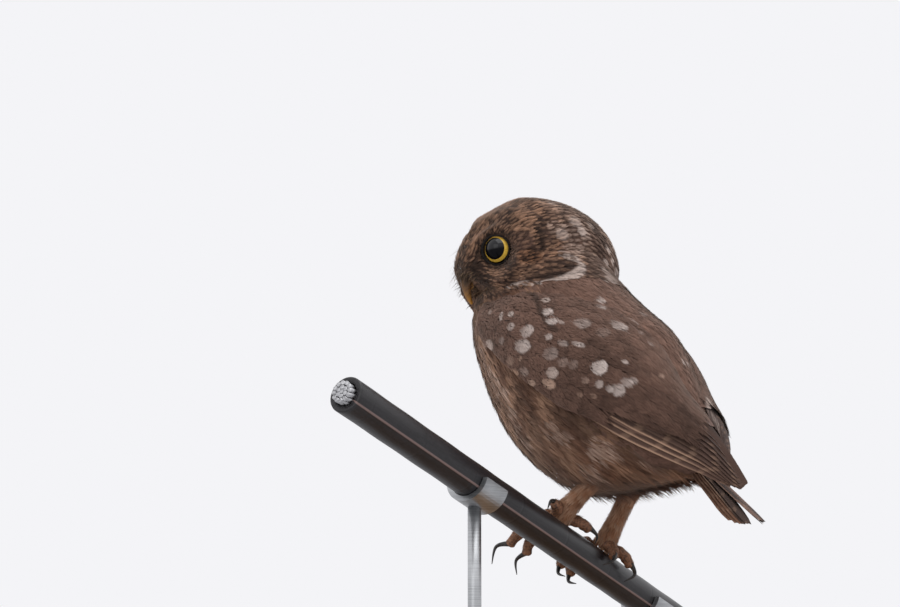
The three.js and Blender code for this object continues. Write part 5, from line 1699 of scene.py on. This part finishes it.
def bill_grid(share, under, width, taper, power, depth, pit=0.0):
    """A bill half: ellipses carried down its spine, half the width across and depth·width deep, with a ridge
    on top and a pit for each nostril."""
    down = np.linspace(0, 1, 40)[:, None]
    spine = bill_spine(BILL["bend"] * share * down[:, 0], under)
    top = np.cross(LEFT, unit(np.gradient(spine, axis=0)))
    turn = np.linspace(0, 2 * np.pi, 49)[None, :]
    nostril = np.exp(-(((down - 0.2) / 0.05) ** 2) - ((np.abs(wrapped(turn)) - 0.95) / 0.22) ** 2)
    half = width / 2 * (1 - taper * down**power) * (1 - pit * nostril)
    upper = np.maximum(0, np.cos(turn))
    across = (half * np.sin(turn) * (1 - 0.12 * upper**2))[..., None] * LEFT
    over = half * depth * np.cos(turn) * (1 + 0.16 * upper**8)
    return spine[:, None] + across + over[..., None] * top[:, None]


class OWL_OT_bill(bpy.types.Operator):
    """Make the hooked bill's two halves, with nostrils, and the bristles round its base"""

    bl_idname = "owl.bill"
    bl_label = "Bill"

    def execute(self, context):
        dark, buff = coat_colours("dark", "buff")
        horn = Shading("Bill", Roughness=0.42, Specular_IOR_Level=0.4)
        grain = horn.noise(horn.place(), 350.0, 4.0, 0.6)
        down, _ = horn.map("Bill")
        colour = np.array(context.scene.owl_eyes.horn)
        base = blended(blended(colour, buff, 0.3), dark, 0.75)
        horn.set(Base_Color=horn.mix(base, colour, (down + (grain - 0.5) * 0.3).band(0.6, 0.95)))
        horn.bump(grain, 0.2, 0.0002)
        width = BILL["width"]
        halves = {
            "upper": bill_grid(1.0, 0.0, width, BILL["taper"], BILL["power"], 1.0, 0.25),
            "lower": bill_grid(LOWER_BILL["share"], LOWER_BILL["under"], width - 2 * LOWER_BILL["narrower"],
                               LOWER_BILL["taper"], LOWER_BILL["power"], 0.8),
        }
        for name, grid in halves.items():
            closed = domed(grid, grid[:, :-1].mean(1), 0.5)
            spread = np.stack(crossed(*(np.linspace(0, 1, count) for count in closed.shape[:2])), -1)
            piece = grids_piece(f"{name}_bill", [from_head(closed)], horn.material, {"Bill": spread})
            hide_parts(f"bill_{name}")
        draw = draws(6)
        count = int(BRISTLES["bill"] * settings().density)
        polar, turn = 0.1 + 0.56 * draw.uniform(0, 1, count) ** 1.5, draw.uniform(0, 2 * np.pi, count)
        direction = head_direction(polar, turn)
        root = direction * skull_radius(direction)[..., None]
        off_eye = np.linalg.norm(left_side(root) - EYE_PLACE, axis=1)
        off_bill = np.linalg.norm(root - [0, -36, -2], axis=1)
        kept = (off_eye > BRISTLES["off_eye"]) & (off_bill > BRISTLES["off_bill"])
        direction, root, polar, turn = direction[kept], root[kept], polar[kept], turn[kept]
        count = len(root)
        stand = (draw.uniform(0, 1, (count, 1)) < 0.2) * 1.0
        ahead = unit([0, -41, -9] - root) + direction * (0.12 + 0.75 * stand)
        ahead = ahead + 0.22 * draw.normal(size=(count, 3))
        bow = [0, 0, -0.35] + 0.25 * draw.normal(size=(count, 3))
        low = smooth(-root[:, 2:], -2, 1) * smooth(np.abs(root[:, :1]), 2.5, 4) * (1 - stand)
        length = draw.uniform(3.5, 6.5, (count, 1, 1)) * ((1 + 0.3 * stand) * (1 - 0.85 * low))[:, None]
        u = np.linspace(0, 1, 5)[None, :, None]
        line = (unit(ahead)[:, None] * u + bow[:, None] * u * u * 0.4) * length
        line = (root - 0.5 * direction)[:, None] + line
        normal = np.repeat((direction @ HEAD_TURN.T)[:, None], 5, 1)
        olive = blended(dark, buff, 0.45) * [0.9, 0.95, 0.8]
        colour = blended(dark * 0.45, olive, draw.uniform(0, 1, count) ** 1.5)

        def tint(points, coordinates):
            return np.broadcast_to(colour[:, None, None], points.shape)

        root_map = np.stack([0.05 + 0.9 * polar, 0.02 + 0.95 * turn / (2 * np.pi)], -1)
        width = draw.uniform(0.22, 0.4, count) * (1 + 0.8 * (1 - stand[:, 0]))
        material = coat_material("Bill bristles")
        piece = coat("bill_bristles", from_head(line), normal, width, tint, root_map, material)
        return {"FINISHED"}


class OWL_OT_perch(bpy.types.Operator):
    """Make the cut length of cable: its jacket with the marking line, and the stranded conductor"""

    bl_idname = "owl.perch"
    bl_label = "Perch"

    def execute(self, context):
        perch = context.scene.owl_perch
        jacket = Shading("Jacket", Specular_IOR_Level=0.5)
        along, over = jacket.map("Jacket")
        fine = jacket.noise(jacket.place(), 700.0, 4.0, 0.65)
        drawn = jacket.drawn(along * 0.6, over * 60.0, detail=4.0)
        black, seam = np.array(perch.jacket), np.array(perch.seam)
        colour = jacket.mix(black * 0.4, black, (fine * 0.5 + drawn * 0.5).band(0.35, 0.7))
        line = (over - 0.5 + drawn * 0.004).size().band(0.012, 0.006)
        ring = ((along * 0.27).part() - 0.5).size().band(0.03, 0.0)
        colour = jacket.mix(colour, black * 0.5, ring * 0.5)
        jacket.set(Base_Color=jacket.mix(colour, seam, line * 0.85), Roughness=0.3 + 0.15 * fine)
        jacket.bump(fine * 0.35 + drawn * 0.5 - ring * 0.5, 0.25, 0.0004)
        radius, right, left = CABLE["radius"], CABLE["right"], CABLE["left"]
        bore = CABLE["core"] + 0.35
        # The jacket's outline from bore to bore, as places along the cable and radii
        profile = [(right, bore), (right, radius - 0.6), (right + 0.2, radius - 0.15), (right + 0.6, radius)]
        profile += [(x, radius) for x in np.linspace(right + 2, left - 2, 120)]
        profile += [(left - 0.6, radius), (left - 0.2, radius - 0.15), (left, radius - 0.6), (left, bore)]
        x, reach = np.array(profile + profile[:1]).T[..., None]
        turn = np.linspace(0, 2 * np.pi, 97)
        off_seam = wrapped(turn - SEAM["turn"])
        ridge = SEAM["rise"] * np.exp(-((off_seam / SEAM["spread"]) ** 2))
        waver = 0.06 * np.sin(x * 0.23 + 2 * np.sin(turn))
        girth = reach + (ridge + waver) * (reach > bore + 1)
        points = cable_axis(x[:, 0])[:, None] + around(turn, CABLE_UP, BACK) * girth[..., None]
        spread = np.stack(np.broadcast_arrays(x / 10, off_seam / (2 * np.pi) + 0.5), -1)
        piece = grids_piece("cable_jacket", [points], jacket.material, {"Jacket": spread})
        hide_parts("perch_jacket")
        metal = Shading("Conductor", Metallic=1.0)
        scratch = metal.noise(metal.place(), 800.0, 4.0, 0.6)
        metal.set(Base_Color=metal.mix((0.35, 0.35, 0.36), (0.62, 0.62, 0.63), scratch.band(0.3, 0.7)))
        metal.set(Roughness=0.25 + 0.25 * scratch)
        wire = CABLE["core"] / 5
        strands = []
        lengths = np.linspace(right - CABLE["proud"], left + CABLE["proud"], 60)
        for number, orbit in ((1, 0), (6, 2), (12, 4)):
            for k in range(number):
                turn = 2 * np.pi * (k / number + lengths / TWIST)
                path = cable_axis(lengths) + around(turn, CABLE_UP, BACK) * orbit * wire
                strands.append(domed(tube_grid(path, lambda share, turn: 0.99 * wire, 10), path, 0.1))
        piece = grids_piece("conductor_strands", strands, metal.material)
        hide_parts("perch_core")
        return {"FINISHED"}


def steel_material():
    """Brushed steel: fine lines across the axis, a little darker in broad patches."""
    shading = Shading("Brushed steel", Metallic=1.0)
    x, y, z = shading.parts(shading.place())
    brushed = shading.drawn(x * 40.0, y * 40.0, z * 2600.0, detail=4.0)
    broad = shading.noise(shading.place(), 60.0, 2.0, 0.5)
    light = (brushed * 0.6 + broad * 0.4).band(0.3, 0.7)
    shading.set(Base_Color=shading.mix((0.32, 0.33, 0.34), (0.58, 0.59, 0.6), light))
    shading.set(Roughness=0.25 + 0.22 * brushed)
    shading.bump(brushed, 0.12, 0.0001)
    return shading.material


def turned(centre, profile, sides=48):
    """A turned piece: rings of the profile's (radius, height) round a vertical axis."""
    radius, height = np.array(profile, float).T[..., None]
    ring = around(np.linspace(0, 2 * np.pi, sides + 1), LEFT, BACK)
    return centre + ring * radius[..., None] + height[..., None] * UP


class OWL_OT_stand(bpy.types.Operator):
    """Make the base with its rounded edges and give rods and saddles brushed steel"""

    bl_idname = "owl.stand"
    bl_label = "Stand"

    def execute(self, context):
        colour = np.array(context.scene.owl_perch.wood)
        wood = Shading("Oiled wood", Specular_IOR_Level=0.4)
        x, y, z = wood.parts(wood.place())
        warp = wood.drawn(x * 6.0, y * 40.0, z * 40.0)
        rings = (y * 260.0 + z * 120.0 + warp * 7.0).sine() * 0.5 + 0.5
        pores = wood.drawn(x * 90.0, y * 1500.0, z * 1500.0)
        grain = wood.mix(colour * 0.62, colour * 1.1, (rings * 0.6 + pores * 0.5).band(0.2, 0.95))
        wood.set(Base_Color=grain, Roughness=0.38 + 0.2 * pores)
        wood.bump(pores, 0.2, 0.0003)
        low, high = (np.array(corner) * 1000 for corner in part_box("stand_base"))
        half = (high - low) / 2
        edge, corner = BASE["edge"], BASE["corner"]
        turn = np.linspace(0, 2 * np.pi, 97)
        side = np.sign(around(turn + 1e-6, LEFT, BACK))[:, :2]
        arc = around(turn, LEFT, BACK)[:, :2]
        quarter = np.linspace(0, np.pi / 2, 7)
        profile = [(-edge, -half[2])]
        profile += [(edge * (np.sin(q) - 1), -half[2] + edge * (1 - np.cos(q))) for q in quarter]
        profile += [(edge * (np.cos(q) - 1), half[2] - edge * (1 - np.sin(q))) for q in quarter]
        rings = []
        for inset, height in profile:
            ring = side * (half[:2] - corner) + arc * (corner + inset)
            rings.append(np.concatenate([ring, np.full((97, 1), height)], 1))
        ends = [np.repeat([[0, 0, height]], 97, 0) for height in (-half[2], half[2])]
        grid = np.stack([ends[0], *rings, ends[1]]) + (low + high) / 2
        piece = grids_piece("base_board", [grid - OWL_PLACE], wood.material)
        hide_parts("stand_base")
        steel = steel_material()
        rods = []
        for i in (1, 2):
            low, high = (np.array(corner) * 1000 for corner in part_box(f"stand_rod_{i}"))
            radius, bottom, top = (high[0] - low[0]) / 2, low[2], high[2]
            profile = [(0, bottom), (radius, bottom), (radius, bottom + 1), (radius, (bottom + top) / 2)]
            rods.append(turned((low + high) / 2 * [1, 1, 0], profile + [(radius, top), (0, top)]) - OWL_PLACE)
        piece = grids_piece("stand_rods", rods, steel)
        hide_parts("stand_rod_1", "stand_rod_2")
        for i in (1, 2):
            saddle = frame["nodes"][f"stand_saddle_{i}"]
            saddle.data.materials.clear()
            saddle.data.materials.append(steel)
        return {"FINISHED"}


class OWL_OT_stage(bpy.types.Operator):
    """Set the floor, the pale surround, the soft lights and the camera"""

    bl_idname = "owl.stage"
    bl_label = "Stage"

    def execute(self, context):
        stage, scene = context.scene.owl_stage, context.scene
        plane = bpy.data.meshes.new("floor")
        plane.from_pydata([(-40, -40, 0), (40, -40, 0), (40, 40, 0), (-40, 40, 0)], [], [(0, 1, 2, 3)])
        floor = Shading("Floor", Roughness=0.8)
        grain = floor.noise(floor.place(), 30.0, 3.0, 0.5)
        floor.set(Base_Color=floor.mix((0.5, 0.5, 0.51), (0.54, 0.54, 0.55), grain))
        plane.materials.append(floor.material)
        floor = bpy.data.objects.new("floor", plane)
        scene.collection.objects.link(floor)
        world = bpy.data.worlds.new("Surround")
        world.use_nodes = True
        world.node_tree.nodes["Background"].inputs[0].default_value = (*stage.sky, 1)
        world.node_tree.nodes["Background"].inputs[1].default_value = 1.0
        scene.world = world
        scene.view_settings.view_transform = "Standard"
        look = around(stage.rise, around(stage.bearing, -LEFT, -BACK), UP)
        aside = around(stage.bearing, BACK, -LEFT)
        up = np.cross(aside, look)
        target = (OWL_PLACE - 59.5 * aside + 104 * up) / 1000
        camera = bpy.data.objects.new("Camera", bpy.data.cameras.new("Camera"))
        camera.data.lens, camera.data.sensor_width = stage.lens, 36
        camera.data.clip_start = 0.01
        camera.location = target - look * stage.distance
        camera.rotation_euler = Matrix(np.stack([aside, up, -look], 1).tolist()).to_euler()
        scene.collection.objects.link(camera)
        scene.camera = camera
        lights = {"Sky light": ((0.3, 0.5, 2.2), 1.7, 1.0), "Side light": ((2.2, 0.2, 1.0), 1.6, 0.35)}
        for name, (spot, size, share) in lights.items():
            light = bpy.data.lights.new(name, "AREA")
            light.energy, light.size = stage.key * share, size
            lamp = bpy.data.objects.new(name, light)
            lamp.location = spot
            way = Vector((0, 0, 0.15)) - Vector(spot)
            lamp.rotation_euler = way.to_track_quat("-Z", "Y").to_euler()
            scene.collection.objects.link(lamp)
        return {"FINISHED"}


OPERATORS = (
    OWL_OT_stage, OWL_OT_skin, OWL_OT_trunk_coat, OWL_OT_head_coat, OWL_OT_wings, OWL_OT_tail,
    OWL_OT_legs, OWL_OT_feet, OWL_OT_eyes, OWL_OT_bill, OWL_OT_perch, OWL_OT_stand,
)
GROUPS = {
    "owl_plumage": PlumageSettings, "owl_eyes": EyeSettings,
    "owl_perch": PerchSettings, "owl_stage": StageSettings,
}


class OWL_PT_panel(bpy.types.Panel):
    """Lists the owl's pieces and their settings"""

    bl_label = "Little owl"
    bl_idname = "OWL_PT_panel"
    bl_space_type = "VIEW_3D"
    bl_region_type = "UI"
    bl_category = "Little owl"

    def draw(self, context):
        for group, kind in GROUPS.items():
            box = self.layout.box()
            for key in kind.__annotations__:
                box.prop(getattr(context.scene, group), key)
        for operator in OPERATORS:
            self.layout.operator(operator.bl_idname)


def register():
    for kind in (*GROUPS.values(), *OPERATORS, OWL_PT_panel):
        bpy.utils.register_class(kind)
    for name, kind in GROUPS.items():
        setattr(bpy.types.Scene, name, PointerProperty(type=kind))


def unregister():
    for name in GROUPS:
        delattr(bpy.types.Scene, name)
    for kind in reversed((*GROUPS.values(), *OPERATORS, OWL_PT_panel)):
        bpy.utils.unregister_class(kind)


def main():
    register()
    for operator in OPERATORS:
        category, name = operator.bl_idname.split(".")
        getattr(getattr(bpy.ops, category), name)()


if __name__ == "__main__":
    main()
